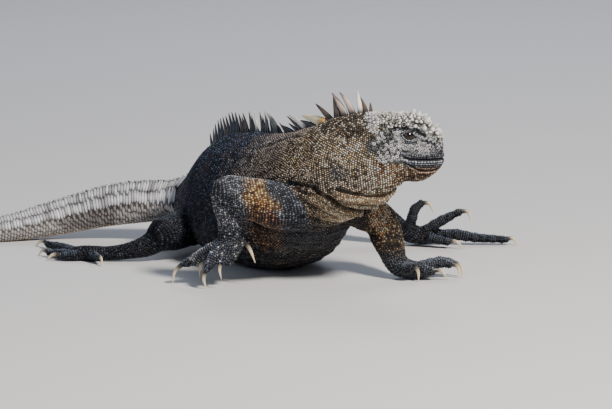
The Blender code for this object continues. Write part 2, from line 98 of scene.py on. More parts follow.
# Matt emulsion on board: no gloss, and a roller's faint stipple, three marks to a centimetre.
MM = 0.001
board_paint, board_shader = new_material("matt_board_paint", 0.9, 0.2)
board_shader.inputs["Base Color"].default_value = (*hex_colour("c4c4c5"), 1.0)
board_place = add_node(board_paint, "ShaderNodeTexCoord")
board_grain = add_node(
    board_paint,
    "ShaderNodeTexNoise",
    {"Scale": 0.3 / MM, "Detail": 2.0},
    {"Vector": board_place.outputs["Object"]},
)
board_bump = add_node(
    board_paint,
    "ShaderNodeBump",
    {"Strength": 0.05, "Distance": 0.0004},
    {"Height": board_grain.outputs["Fac"]},
)
board_paint.node_tree.links.new(board_bump.outputs["Normal"], board_shader.inputs["Normal"])

FLOOR_SIZE = 16.0
bpy.ops.mesh.primitive_plane_add(size=FLOOR_SIZE, location=(0.0, 0.0, 0.0))
floor = bpy.context.object
floor.name = "floor"
floor.data.materials.append(board_paint)

# The lamps: one large soft box high to the front right, as low sun would come, a weak one from
# the left for the shaded side, and a pale surround that fills the rest.
LAMP_AIM = Vector((0.03, -0.05, 0.08))
LAMPS = (
    ("key", (1.35, -1.75, 2.1), 0.5, 168.0, "fff7ec"),
    ("fill", (-2.2, -2.2, 1.3), 2.0, 22.0, "d5e3ff"),
    ("rim", (0.3, 2.2, 2.1), 1.4, 34.0, "e4ecff"),
)
for lamp_name, lamp_place, lamp_size, lamp_power, lamp_colour in LAMPS:
    lamp_data = bpy.data.lights.new(f"{lamp_name}_lamp", "AREA")
    lamp_data.shape = "DISK"
    lamp_data.size = lamp_size
    lamp_data.energy = lamp_power
    lamp_data.color = hex_colour(lamp_colour)
    lamp = bpy.data.objects.new(f"{lamp_name}_lamp", lamp_data)
    bpy.context.scene.collection.objects.link(lamp)
    lamp.location = lamp_place
    lamp.rotation_euler = (LAMP_AIM - lamp.location).to_track_quat("-Z", "Y").to_euler()
surround = bpy.data.worlds.new("pale_surround")
surround.use_nodes = True
surround_light = surround.node_tree.nodes["Background"]
surround_light.inputs["Color"].default_value = (*hex_colour("c9d0da"), 1.0)
surround_light.inputs["Strength"].default_value = 0.33
bpy.context.scene.world = surround

# The skin: one living hide over the head, body, legs and toes, with no seam, which folds at the
# throat, the shoulders and the belly. It is lofted on the model's own sections, joined and
# remeshed as one, and lies 0.6 mm inside them, which is the depth of the scales.
COAT_DEPTH = 0.6
# Each row is x, y, the back's height, the underside's height, the half width, and how square the
# section is above and below its widest level, in millimetres.
STATIONS = np.array((
    (173.2, -118, 145, 127, 5.5, 2, 2),  # lip front
    (172, -118, 149.5, 124, 9.5, 2.3, 2.2),  # snout tip
    (168.6, -118, 155.5, 119.5, 13.5, 2.4, 2.3),  # nostrils
    (163, -118, 162, 114.5, 17, 2.5, 2.3),  # muzzle
    (155, -118, 172, 109, 20, 2.6, 2.3),  # stop
    (145, -118, 176, 106.8, 23, 2.7, 2.3),  # brow
    (131, -118, 176.5, 105.8, 27.5, 2.7, 2.2),  # mouth corner
    (121, -118, 177.5, 91, 30.5, 2.5, 2),  # cheek
    (109.5, -118, 178, 83.5, 32.5, 2.3, 1.9),  # jaw angle
    (101.5, -118, 178, 79, 33.5, 2.2, 1.9),  # ear
    (89.4, -116.2, 177.2, 71.9, 37, 2, 1.8),  # nape
    (79.1, -112.4, 174.6, 67.1, 41, 1.9, 1.8),  # throat fold
    (68.1, -105.5, 171.1, 63.6, 45, 1.9, 1.9),  # mid neck
    (57.6, -95.5, 165.8, 52.8, 49, 1.9, 2),  # neck base
    (48.8, -84, 159.1, 38.6, 53, 1.9, 2.1),  # shoulders
    (38.2, -67, 152.6, 23.1, 57.5, 1.9, 2.2),  # chest
    (26.7, -47, 146.5, 8.5, 62, 1.9, 2.4),  # front ribs
    (8, -12, 140, -1.5, 66, 1.9, 2.5),  # mid trunk
    (-8, 18, 136.5, -1.5, 67, 1.9, 2.5),  # belly
    (-24, 45, 131.5, -1, 65, 1.9, 2.4),  # flank
    (-42, 72, 123.5, 2, 56, 1.9, 2.3),  # loins
    (-53, 90, 111, 9, 46, 1.9, 2.2),  # front pelvis
    (-64, 108, 94, 15, 38, 1.9, 2.2),  # hips
    (-81, 125, 76.5, 20, 31, 1.8, 2.1),  # vent
    (-102, 136.5, 66, 22, 25.5, 1.8, 2.1),  # tail root
    (-135, 144, 63.5, 18.5, 22.5, 1.7, 2.1),  # tail thick
    (-166, 147, 59.5, 14.5, 19.5, 1.7, 2.1),  # tail a
    (-220, 149, 44.5, 5, 16, 1.7, 2.1),  # tail b
    (-286, 135, 27, -1, 13, 1.7, 2.2),  # tail c
    (-364, 117, 22.5, -0.8, 10.5, 1.7, 2.2),  # tail d
    (-444, 107, 18, -0.7, 8.5, 1.7, 2.2),  # tail e
    (-524, 109, 13.5, -0.6, 6.5, 1.7, 2.2),  # tail f
    (-584, 120, 9.5, -0.5, 4.8, 1.8, 2.2),  # tail g
    (-630, 135, 5.8, -0.4, 3.2, 1.9, 2.1),  # tail h
    (-641, 140, 3.6, -0.3, 1.9, 2, 2),  # tail tip
))
# Each leg's lengths of flesh as x, y, z and radius, and each claw's bend and tip.
LEGS = {
    "right_fore": {
        "upper": ((32, -104, 82, 26), (8, -120, 84, 24.5), (-20, -122, 91, 21), (-41, -116, 95, 18.5)),
        "lower": (
            (-39, -115, 97, 13),
            (-39.5, -114, 86, 18.5),
            (-37.5, -114, 73, 17),
            (-37.5, -112.5, 60, 15),
            (-38.5, -112, 53, 13.6),
        ),
        "palm": ((-38.5, -112.5, 50, 12.6), (-40, -114, 41, 13), (-43, -118, 32, 10.5)),
        "digits": (
            ((-40, -115, 39, 7.5), (-32, -116, 44, 6.4), (-26.5, -116.5, 46.5, 4.6)),
            ((-40, -117, 40, 7.5), (-44, -123, 35, 6.4), (-47.5, -127, 28, 4.8)),
            (
                (-46, -117, 41, 7.5),
                (-54.5, -123, 33.5, 6.4),
                (-60, -127, 26, 5.6),
                (-63, -129, 20.5, 4.6),
            ),
            (
                (-46, -113, 43, 7.5),
                (-62, -112, 35.5, 6.6),
                (-78, -109, 25, 5.8),
                (-86, -107, 21.5, 4.6),
            ),
            ((-44, -108, 42, 7), (-56, -101, 35, 6), (-64, -95, 25, 4.6)),
        ),
        "claws": (
            ((-21, -117, 40, 2.3), (-14.8, -118, 25, 0.6)),
            ((-50, -129.5, 22, 2.4), (-48.5, -128, 10, 0.6)),
            ((-66, -129, 12, 2.4), (-63.5, -127, -0.4, 0.7)),
            ((-94.5, -104, 15, 2.5), (-98.5, -101, -0.4, 0.7)),
            ((-70, -92, 16, 2.2), (-71, -90, 4, 0.6)),
        ),
    },
    "left_fore": {
        "upper": ((64, -86, 82, 20), (79, -74, 77, 21.5), (98, -60, 66, 20), (112, -46, 55, 17.5)),
        "lower": (
            (110, -48, 59, 12),
            (115, -53, 48, 17),
            (119.5, -62, 36, 16.2),
            (123.5, -69, 26, 13.8),
        ),
        "palm": (
            (123.5, -70, 22, 12.4),
            (129, -73, 14.5, 12),
            (138, -74.5, 10.5, 10.8),
            (148, -75, 9, 9.5),
        ),
        "digits": (
            ((134, -82, 12, 7), (139, -89, 14, 6), (142, -92, 16, 4.6)),
            ((142, -79.5, 9.6, 6.8), (153, -83.4, 10.6, 5.9), (163, -84.5, 9.5, 4.4)),
            ((148, -77, 10, 7), (161, -75, 14, 6.2), (173, -73, 16, 5.6), (181, -72, 14.5, 4.6)),
            ((148, -71, 10, 7), (162, -66, 14, 6.2), (175, -63, 16, 5.6), (184, -63, 14.5, 4.6)),
            ((142, -68, 9, 6.4), (152, -57, 9, 5.6), (160, -48, 8, 4.4)),
        ),
        "claws": (
            ((147.5, -91, 13, 2.4), (149.5, -89, -0.4, 0.7)),
            ((171, -83, 10, 2.3), (179.5, -79, -0.4, 0.7)),
            ((189, -71, 12, 2.4), (190.5, -71, -0.4, 0.7)),
            ((192, -65, 12, 2.4), (194.5, -68, -0.4, 0.7)),
            ((166, -43, 7, 2.2), (171, -38, -0.4, 0.7)),
        ),
    },
    "right_hind": {
        "upper": ((-66, 100, 46, 22), (-79, 66, 34, 21), (-95, 38, 29, 19.5), (-110, 24, 28, 18)),
        "lower": (
            (-106, 27, 29, 12),
            (-124, 21.5, 18, 12.2),
            (-142, 21.5, 12, 9.8),
            (-158, 22, 9, 8.5),
            (-173, 23, 8, 7.8),
        ),
        "palm": ((-176, 23.3, 8, 8.4), (-190, 26, 7, 9.4), (-200, 32, 6, 8.6)),
        "digits": (
            ((-188, 22, 7, 5.6), (-181, 12, 7, 5), (-177, 5, 6.5, 4)),
            ((-195, 24, 6, 6), (-205, 21, 6, 5.2), (-217, 22, 5, 4)),
            ((-200, 27, 6, 6.4), (-210, 30, 6, 5.6), (-223, 37, 5.4, 5), (-230, 43, 4.6, 4)),
            ((-200, 35, 6, 6.6), (-210, 52, 6.5, 5.8), (-222, 72, 6, 5.2), (-234, 91, 5, 4.2)),
            ((-188, 32, 6, 5.8), (-190, 44, 6, 5), (-196, 55, 5, 4)),
        ),
        "claws": (
            ((-174, -2, 7.5, 2.1), (-173, -8, -0.3, 0.6)),
            ((-225, 23, 6.5, 2.1), (-232, 25, -0.3, 0.6)),
            ((-237, 49, 6, 2.1), (-242, 55, -0.3, 0.6)),
            ((-241, 100, 6.5, 2.2), (-248, 109, -0.3, 0.6)),
            ((-200, 61, 6, 2), (-205, 68, -0.3, 0.6)),
        ),
    },
    "left_hind": {
        "upper": ((-34, 116, 56, 24), (-8, 124, 57, 23), (30, 130, 59, 20.5), (60, 134, 60, 18)),
        "lower": (
            (56, 134, 60, 12),
            (78, 130, 52, 16.5),
            (105, 119, 38, 13.5),
            (126, 112, 26, 10.5),
            (136, 109.5, 18, 9.5),
        ),
        "palm": ((132, 110, 20, 10), (145, 107, 14, 10.5), (160, 106, 11, 9.5)),
        "digits": (
            ((142, 104, 18, 6.6), (146.5, 100, 28, 6), (149, 99, 40, 5.4), (156, 98, 47, 4.4)),
            ((158, 104, 14, 6.6), (173, 102, 25, 6), (188, 101, 33.5, 5.2), (197, 101, 37.5, 4.3)),
            ((160, 101, 10, 6.2), (172, 96, 9, 5.4), (184, 92, 7, 4.4)),
            ((160, 109, 11, 6.8), (188, 111, 12, 6.2), (216, 112, 8, 5.6), (246, 112, 6, 4.4)),
            ((146, 114, 12, 6.4), (158, 126, 9, 5.4), (166, 136, 6.5, 4.2)),
        ),
        "claws": (
            ((164.5, 97, 47, 2.3), (169.5, 97, 36.5, 0.6)),
            ((205, 101, 37.5, 2.3), (209, 101, 25.5, 0.6)),
            ((193, 89, 8, 2.2), (201, 87, -0.3, 0.6)),
            ((253, 112, 7, 2.2), (258.5, 112, -0.3, 0.6)),
            ((171, 142, 7, 2.1), (175, 148, -0.3, 0.6)),
        ),
    },
}
STATION_KEYS = np.concatenate(([0.0], np.cumsum(np.hypot(*np.diff(STATIONS[:, :2], axis=0).T))))
HEAD_MIDDLE = -118.0
EYE = np.array((137.2, 18.6, 156.5))
EYE_RADIUS = 7.6


def run_along(line):
    """How far along a line of points each of them lies."""
    return np.concatenate(([0.0], np.cumsum(np.linalg.norm(np.diff(line, axis=0), axis=1))))


def unit(ways):
    """The same directions, each one long."""
    return ways / np.linalg.norm(ways, axis=1)[:, None]


def ramp(values, start, end):
    """A share that rises from 0 where the values are at start to 1 where they are at end."""
    return np.clip((values - start) / (end - start), 0.0, 1.0)


def smooth(keys, values, where):
    """Read at the places `where` a smooth curve that passes through values at keys."""
    where = np.atleast_1d(np.asarray(where, float))
    slopes = np.gradient(values, keys, axis=0)
    i = np.clip(np.searchsorted(keys, where, side="right") - 1, 0, len(keys) - 2)
    span = (keys[i + 1] - keys[i])[:, None]
    t = (where - keys[i])[:, None] / span
    held = (1 + 2 * t) * (1 - t) ** 2 * values[i] + t * t * (3 - 2 * t) * values[i + 1]
    return held + span * (t * (1 - t) ** 2 * slopes[i] - t * t * (1 - t) * slopes[i + 1])


def body_forward(keys):
    """The level direction to the snout at each distance back from it."""
    ahead = smooth(STATION_KEYS, STATIONS[:, :2], np.maximum(keys - 1.0, 0.0))
    behind = smooth(STATION_KEYS, STATIONS[:, :2], np.minimum(keys + 1.0, STATION_KEYS[-1]))
    return unit(ahead - behind)


def on_body(keys, angles, grow=0.0):
    """Points on the body by their distance from the snout and their angle, 0 the left, up next."""
    keys = np.asarray(keys, float)
    x, y, top, bottom, half, roof, keel = smooth(STATION_KEYS, STATIONS, keys).T
    forward = body_forward(keys)
    level = bottom + 0.44 * (top - bottom)
    rising = np.sin(angles)
    square = 2.0 / np.where(rising >= 0, roof, keel)
    across = np.sign(np.cos(angles)) * np.abs(np.cos(angles)) ** square * (half + grow)
    reach = np.where(rising >= 0, top - level, level - bottom) + grow
    height = level + reach * np.sign(rising) * np.abs(rising) ** square
    return np.stack((x - forward[:, 1] * across, y + forward[:, 0] * across, height), axis=1)


def leg_frames(stops, spacing, round_start=True):
    """Middles, radii, directions and sides along one length of a leg, with its ends rounded off."""
    stops = np.asarray(stops, float)
    keys = run_along(stops[:, :3])
    places = np.linspace(0.0, keys[-1], max(3, round(keys[-1] / spacing) + 1))
    line = smooth(keys, stops, places)
    along = unit(np.gradient(line[:, :3], places, axis=0))
    side = np.cross(along[0], (0.0, 0.0, 1.0))
    side = side / np.linalg.norm(side) if np.linalg.norm(side) > 0.2 else np.array((1.0, 0.0, 0.0))
    rows = []
    for point, direction in zip(line, along):
        side = side - direction * np.dot(side, direction)
        side /= np.linalg.norm(side)
        rows.append((point[:3], point[3], direction, side, 1.0))
    caps = []
    for way, (middle, radius, direction, side, _) in ((-1.0, rows[0]), (1.0, rows[-1])):
        cap = []
        for turn in np.linspace(0.2, 1.35, 6):
            place = middle + way * direction * radius * math.sin(turn)
            cap.append((place, radius * math.cos(turn), direction, side, math.cos(turn)))
        caps.append(cap)
    return (caps[0][::-1] if round_start else []) + rows + caps[1]


KNUCKLE_SWELL, FIRST_KNUCKLE, KNUCKLE_PITCH = 0.085, 13.0, 9.5


def knuckled(rows):
    """The same frames with the toe's joints swollen a little."""
    run = 0.0
    swollen = []
    for number, (middle, radius, direction, side, share) in enumerate(rows):
        if number:
            run += float(np.linalg.norm(middle - rows[number - 1][0]))
        wave = math.cos(2 * math.pi * (run - FIRST_KNUCKLE) / KNUCKLE_PITCH)
        swell = 1.0 + KNUCKLE_SWELL * wave * share
        swollen.append((middle, radius * swell, direction, side, share))
    return swollen


def on_leg(row, angles, grow=0.0):
    """Points round one frame of a leg. Angle 0 is its side and a quarter turn is its top."""
    middle, radius, direction, side, share = row
    up = np.cross(side, direction)
    reach = radius + grow * share
    return middle + side * reach * np.cos(angles)[:, None] + up * reach * np.sin(angles)[:, None]


def pick_only(*pieces):
    """Select these pieces and nothing else, with the first one active."""
    bpy.ops.object.select_all(action="DESELECT")
    for piece in pieces:
        piece.select_set(True)
    bpy.context.view_layer.objects.active = pieces[0]


def new_piece(name, points, faces):
    """A new mesh object from points in millimetres and the faces between them."""
    mesh = bpy.data.meshes.new(name)
    mesh.from_pydata((points * MM).tolist(), [], faces)
    made = bpy.data.objects.new(name, mesh)
    bpy.context.scene.collection.objects.link(made)
    return made


def turn_outward(made):
    """Turn every face of a closed piece outwards."""
    pick_only(made)
    bpy.ops.object.mode_set(mode="EDIT")
    bpy.ops.mesh.select_all(action="SELECT")
    bpy.ops.mesh.normals_make_consistent(inside=False)
    bpy.ops.object.mode_set(mode="OBJECT")


def tube_faces(first, rings, sides, foot, tip):
    """The faces of a tube of rings of points from `first` on, closed by its foot and tip points."""
    last = first + (rings - 1) * sides
    faces = []
    for one in range(first, last, sides):
        for j in range(sides):
            k = (j + 1) % sides
            faces.append((one + j, one + k, one + sides + k, one + sides + j))
    for j in range(sides):
        k = (j + 1) % sides
        faces.append((first + k, first + j, foot))
        faces.append((last + j, last + k, tip))
    return faces


def closed_loft(rings):
    """One closed mesh object from rings of points in millimetres, with a point at each end."""
    points = np.concatenate((*rings, [rings[0].mean(axis=0)], [rings[-1].mean(axis=0)]))
    faces = tube_faces(0, len(rings), len(rings[0]), len(points) - 2, len(points) - 1)
    made = new_piece("flesh", points, faces)
    turn_outward(made)
    return made


BODY_SIDES, LEG_SIDES = 96, 28
ring_angles = np.linspace(0.0, 2 * math.pi, BODY_SIDES, endpoint=False)
skin_rings = [
    on_body(np.full(BODY_SIDES, key), ring_angles, -COAT_DEPTH)
    for key in np.concatenate(([0.2, 0.7, 1.4, 2.4, 3.6], np.arange(5.0, STATION_KEYS[-1], 2.5)))
]
flesh = [closed_loft(skin_rings)]
round_angles = np.linspace(0.0, 2 * math.pi, LEG_SIDES, endpoint=False)
for parts in LEGS.values():
    lengths = [leg_frames(parts[part], 2.5) for part in ("upper", "lower", "palm")]
    lengths += [knuckled(leg_frames(stops, 1.2)) for stops in parts["digits"]]
    for rows in lengths:
        flesh.append(closed_loft([on_leg(row, round_angles, -COAT_DEPTH) for row in rows]))
pick_only(*flesh)
bpy.ops.object.join()
skin = bpy.context.object
skin.name = "skin"
skin.data.name = "skin"
HIDE_VOXEL = 2.1
remesh = skin.modifiers.new("one_hide", "REMESH")
remesh.mode = "VOXEL"
remesh.voxel_size = HIDE_VOXEL * MM
bpy.ops.object.modifier_apply(modifier="one_hide")
soften = skin.modifiers.new("soften", "SMOOTH")
soften.factor = 0.5
soften.iterations = 4
bpy.ops.object.modifier_apply(modifier="soften")


def cut_finer(low, high, middle=None, reach=0.0):
    """Cut the skin's faces twice as fine inside a box, or inside balls round points, in mm."""
    hide = bmesh.new()
    hide.from_mesh(skin.data)
    hide.edges.index_update()
    # Each edge once, in the order they are met, so that every run cuts them alike.
    edges = {}
    for face in hide.faces:
        x, y, z = face.calc_center_median() / MM
        inside = low[0] < x < high[0] and low[1] < y < high[1] and low[2] < z < high[2]
        if inside and middle is not None:
            inside = math.dist((x, abs(y - HEAD_MIDDLE), z), middle) < reach
        if inside:
            edges.update((edge.index, edge) for edge in face.edges)
    bmesh.ops.subdivide_edges(
        hide, edges=list(edges.values()), cuts=1, use_grid_fill=True, smooth=0.6
    )
    hide.to_mesh(skin.data)
    hide.free()


FACE_LOW, FACE_HIGH = (112.0, -156.0, 96.0), (180.0, -80.0, 190.0)
cut_finer(FACE_LOW, FACE_HIGH)
cut_finer(FACE_LOW, FACE_HIGH, EYE + (0.0, 5.0, 0.0), 11.0)


def hide_points():
    """The skin's points and their outward directions, in millimetres."""
    count = len(skin.data.vertices)
    points = np.empty(count * 3)
    skin.data.vertices.foreach_get("co", points)
    outward = np.empty(count * 3)
    skin.data.vertex_normals.foreach_get("vector", outward)
    return points.reshape(-1, 3) / MM, outward.reshape(-1, 3)


# The hide rests this far over the floor, on the scales under it.
RESTING_GAP = 0.15


def move_hide(points):
    """Give the skin's points new places, in millimetres, none of them lower than it rests."""
    points[:, 2] = np.maximum(points[:, 2], RESTING_GAP)
    skin.data.vertices.foreach_set("co", (points * MM).ravel())
    skin.data.update()


def rumple(points, size, seed):
    """Smooth chance values from -1 to 1 at points, which change over about `size` millimetres."""
    chance = np.random.default_rng(seed).uniform(-1.0, 1.0, 4096)
    at = points / size
    cell = np.floor(at).astype(int)
    t = at - cell
    t = t * t * (3 - 2 * t)
    total = np.zeros(len(points))
    for corner in range(8):
        step = np.array((corner & 1, corner >> 1 & 1, corner >> 2 & 1))
        x, y, z = (cell + step).T
        value = chance[(x * 1619 + y * 31337 + z * 6971) % 4096]
        total += value * np.prod(np.where(step, t, 1 - t), axis=1)
    return total


def near_line(places, path):
    """How far each place in a plane is from a run of straight lines."""
    path = np.asarray(path, float)
    best = np.full(len(places), np.inf)
    for one, two in zip(path[:-1], path[1:]):
        run = two - one
        t = np.clip(((places - one) @ run) / (run @ run), 0.0, 1.0)
        best = np.minimum(best, np.linalg.norm(places - one - t[:, None] * run, axis=1))
    return best


def mound(gap, width):
    """The height of a round-topped ridge, 1 at no gap from its line and near 0 two widths off."""
    return np.exp(-((gap / width) ** 2))


midline_keys = np.arange(0.0, STATION_KEYS[-1], 1.0)
midline = KDTree(len(midline_keys))
for number, place in enumerate(smooth(STATION_KEYS, STATIONS[:, :2], midline_keys)):
    midline.insert((place[0], place[1], 0.0), number)
midline.balance()


def keys_near(points):
    """For each point, how far back from the snout it is along the midline, and off to its side."""
    found = [midline.find((p[0], p[1], 0.0)) for p in points]
    return np.array([f[1] for f in found], float), np.array([f[2] for f in found])


# The folds as paths over the flank: how far back from the snout, and how high, then how deep each
# is and how wide. A depth below zero is a roll of skin that stands up.
FOLDS = (
    (((150, 99), (140, 104), (123, 107), (108, 106), (100, 97), (93, 86), (81, 78), (66, 75)), 4.4, 2.5),
    (((150, 104), (138, 110), (118, 113), (104, 110), (95, 100)), 1.1, 2.0),
    (((92, 104), (88, 102), (76, 97), (62, 96), (54, 98), (46, 103)), 3.4, 1.8),
    (((97, 96), (90, 90), (76, 86), (62, 84)), 1.8, 1.8),
    (((104, 99), (97, 93), (90, 83), (72, 80)), 2.0, 1.6),
    (((96, 92), (84, 91), (70, 90), (58, 91)), -1.4, 3.0),
    (((118, 101), (108, 98), (102, 90), (96, 80), (86, 72)), 1.8, 1.8),
    (((126, 100), (116, 92), (108, 82), (100, 72)), 1.5, 1.8),
    (((134, 96), (124, 86), (116, 74), (108, 64)), 1.4, 2.0),
    (((142, 92), (134, 80), (126, 66), (116, 56)), 1.2, 2.2),
    (((166, 60), (154, 55), (142, 52), (124, 53)), 1.3, 1.7),
    (((182, 53), (168, 46), (152, 44), (136, 38)), 0.9, 1.4),
    (((178, 40), (164, 35), (156, 29), (142, 30)), 1.0, 1.4),
    (((194, 31), (180, 25), (166, 24), (152, 19)), 0.8, 1.4),
    (((206, 47), (192, 40), (180, 41)), 0.9, 1.5),
    (((200, 128), (193, 131), (181, 135), (169, 141), (150, 147), (133, 150)), 1.3, 2.2),
    (((206, 133), (190, 138), (176, 143), (156, 149)), 0.8, 1.7),
)
points, outward = hide_points()
keys, aside = keys_near(points)
flank = np.stack((keys, points[:, 2]), axis=1)
# Only points that lie near the body's own surface fold with it, not those out on the legs.
half_there = smooth(STATION_KEYS, STATIONS[:, 4:5], keys)[:, 0]
on_trunk = np.clip((half_there + 3.0 - aside) / 4.0, 0.0, 1.0) * (keys < 400)
sunk = np.zeros(len(points))
for path, depth, width in FOLDS:
    close = np.abs(keys - np.mean([p[0] for p in path])) < 70
    gap = near_line(flank[close], path)
    wobble = 1.0 + 0.6 * rumple(points[close], 9.0, 11)
    sunk[close] -= depth * (mound(gap, width) - 0.34 * mound(gap - 2.2 * width, 1.1 * width)) * wobble
sunk *= on_trunk
# Fine slack wrinkles run round the belly and the throat, and the hide is never quite even.
slack = on_trunk * (ramp(points[:, 2], 60.0, 30.0) * (keys > 110) * (keys < 350))
waves = np.sin(points[:, 2] / 1.35 + 2.2 * rumple(points, 16.0, 5) + keys * 0.03)
sunk += slack * (0.5 * waves + 0.9 * rumple(points * (0.45, 0.45, 1.0), 3.2, 7))
sunk += slack * 1.3 * rumple(points * (0.5, 0.5, 1.0), 7.5, 8)
sunk += 0.55 * rumple(points, 14.0, 3) * np.clip((keys - 60) / 30, 0.25, 1.0) * (keys < 420)
points += outward * sunk[:, None]
move_hide(points)
# The face of the skin: the brow's ridge, the groove between the lips, the nostrils, the crease
# over the chin, and the two lids, which are drawn over the eye like the skin of a purse. Paths are
# in x and z on the side of the head.
MOUTH_LINE = ((131.0, 136.4), (139.0, 133.6), (150.0, 132.2), (162.0, 131.8), (174.0, 131.8))
CHIN_CREASE = ((133, 131), (140, 126.5), (148, 121.5), (158, 119.5), (168, 122))
BROW_RIDGE = (
    (118.0, 166.0),
    (128.0, 168.8),
    (139.0, 168.2),
    (149.0, 165.0),
    (157.0, 159.5),
    (166.0, 154.5),
)
UNDER_BROW = ((118.0, 162.5), (126.0, 164.6), (135.0, 164.2), (146.0, 161.2), (153.5, 156.0))
FACE_SEAMS = (
    ((131.0, 136.5), (124.0, 138.5), (116.0, 143.5)),
    ((130.0, 157.0), (122.0, 153.5), (114.0, 150.0), (107.0, 151.0)),
    ((145.5, 155.0), (151.0, 151.5), (158.0, 150.0), (164.0, 146.5)),
    ((134.0, 150.5), (140.0, 149.0), (146.0, 150.5)),
    ((123.0, 164.0), (116.0, 158.0), (111.0, 156.5)),
    ((128.0, 143.0), (136.0, 141.0), (146.0, 141.5)),
)
# How far each line of the face stands up, or lies sunk below zero, and how wide it is.
FACE_LINES = [(CHIN_CREASE, -1.5, 1.1), (BROW_RIDGE, 2.4, 2.8), (UNDER_BROW, -1.7, 1.3)]
FACE_LINES += [(seam, -0.8, 1.2) for seam in FACE_SEAMS]
# The cheek's bulge, and the hollows of the temple and before the eye, as x, z, height and width.
FACE_MOUNDS = ((121, 141, 1.6, 9), (111, 156, -1.2, 7), (152, 147, -0.9, 6))
LID_LENGTH, LID_HEIGHT, LID_SLOPE = 6.3, 2.9, math.radians(-14.0)
LID_RADIUS = 8.3


def lid_opening(places):
    """How far outside the almond between the lids each x and z lies, in mm; below zero is inside."""
    run = places - EYE[[0, 2]]
    along = run[:, 0] * math.cos(LID_SLOPE) + run[:, 1] * math.sin(LID_SLOPE)
    rise = -run[:, 0] * math.sin(LID_SLOPE) + run[:, 1] * math.cos(LID_SLOPE)
    bow = np.clip(1.0 - (along / LID_LENGTH) ** 2, 0.0, 1.0) ** 0.8
    edge = np.where(rise > 0, LID_HEIGHT, LID_HEIGHT * 0.82) * bow
    past = np.maximum(np.abs(along) - LID_LENGTH, 0.0)
    return np.hypot(past, np.maximum(np.abs(rise) - edge, 0.0)) - np.maximum(edge - np.abs(rise), 0.0)


points, outward = hide_points()
face = (points[:, 0] > 96) & (points[:, 2] > 76) & (points[:, 1] < -66)
where, out = points[face], outward[face].copy()
x, z = where[:, 0], where[:, 2]
profile = where[:, [0, 2]]
sideways = np.clip(np.abs(out[:, 1]) * 2.2, 0.0, 1.0)
mouth_gap = near_line(profile, MOUTH_LINE)
rise = 0.8 * mound(mouth_gap - 3.2, 1.9) * ramp(x, 112, 126)
rise -= 2.1 * mound(mouth_gap, 0.85) * ramp(x, 129, 133)
for path, height, width in FACE_LINES:
    rise += height * mound(near_line(profile, path), width) * sideways
for x_at, z_at, height, width in FACE_MOUNDS:
    rise += height * mound(np.hypot(x - x_at, z - z_at), width) * sideways
where += out * rise[:, None]
# The nostril is a pit with a raised rim, low on each side of the snout's end.
NOSTRIL = np.array((166.8, 149.2))
pit = np.linalg.norm((where[:, [0, 2]] - NOSTRIL) / (1.1, 1.5), axis=1)
open_side = np.abs(out[:, 1]) > 0.25
rim_and_pit = 0.9 * mound(pit - 3.1, 0.9) - 3.0 * np.exp(-((pit / 1.7) ** 4))
where += out * (open_side * rim_and_pit)[:, None]
# The lids are part of a ball a little larger than the eye, parted along the almond.
side = np.sign(where[:, 1] - HEAD_MIDDLE)
mirrored = where.copy()
mirrored[:, 1] = np.abs(where[:, 1] - HEAD_MIDDLE)
from_eye = mirrored - EYE
reach = np.linalg.norm(from_eye, axis=1)
spread = np.hypot(from_eye[:, 0], from_eye[:, 2])
opening = lid_opening(mirrored[:, [0, 2]])
lid_fold = 0.32 * np.cos(2 * math.pi * (opening - 0.5) / 1.7) * mound(opening - 0.8, 3.2)
lid_ball = LID_RADIUS + lid_fold + 0.35 * mound(opening - 0.5, 0.5)
lid_ball -= ramp(spread, 6.5, 9.5) * 0.9
held = np.maximum(reach, lid_ball)
held += (lid_ball - held) * np.clip(1.5 - spread / 7.5, 0, 1)
inside = np.clip(0.5 - opening / 0.5, 0.0, 1.0)
held = held * (1 - inside) + 6.3 * inside
over_eye = (spread < 10.5) & (from_eye[:, 1] > -1.0)
held = np.where(over_eye, held, reach)
where = EYE + from_eye * (held / np.maximum(reach, 1e-6))[:, None]
where[:, 1] = HEAD_MIDDLE + side * where[:, 1]
points[face] = where
move_hide(points)
skin.data.shade_smooth()

# The unwrap of the hide's own shape, which the scales share, each by the place it grows from.
pick_only(skin)
skin.data.uv_layers.new(name="OFBake")
bpy.ops.object.mode_set(mode="EDIT")
bpy.ops.mesh.select_all(action="SELECT")
bpy.ops.uv.smart_project(angle_limit=math.radians(66.0), island_margin=0.001)
bpy.ops.object.mode_set(mode="OBJECT")
hide = bmesh.new()
hide.from_mesh(skin.data)
bmesh.ops.triangulate(hide, faces=hide.faces)
hide.faces.ensure_lookup_table()
hide_tree = BVHTree.FromBMesh(hide)
hide_map = hide.loops.layers.uv["OFBake"]
hide_patches = [tuple(hide_face.loops[0][hide_map].uv) for hide_face in hide.faces]
hide_corners = [[tuple(v.co / MM) for v in hide_face.verts] for hide_face in hide.faces]
hide.free()


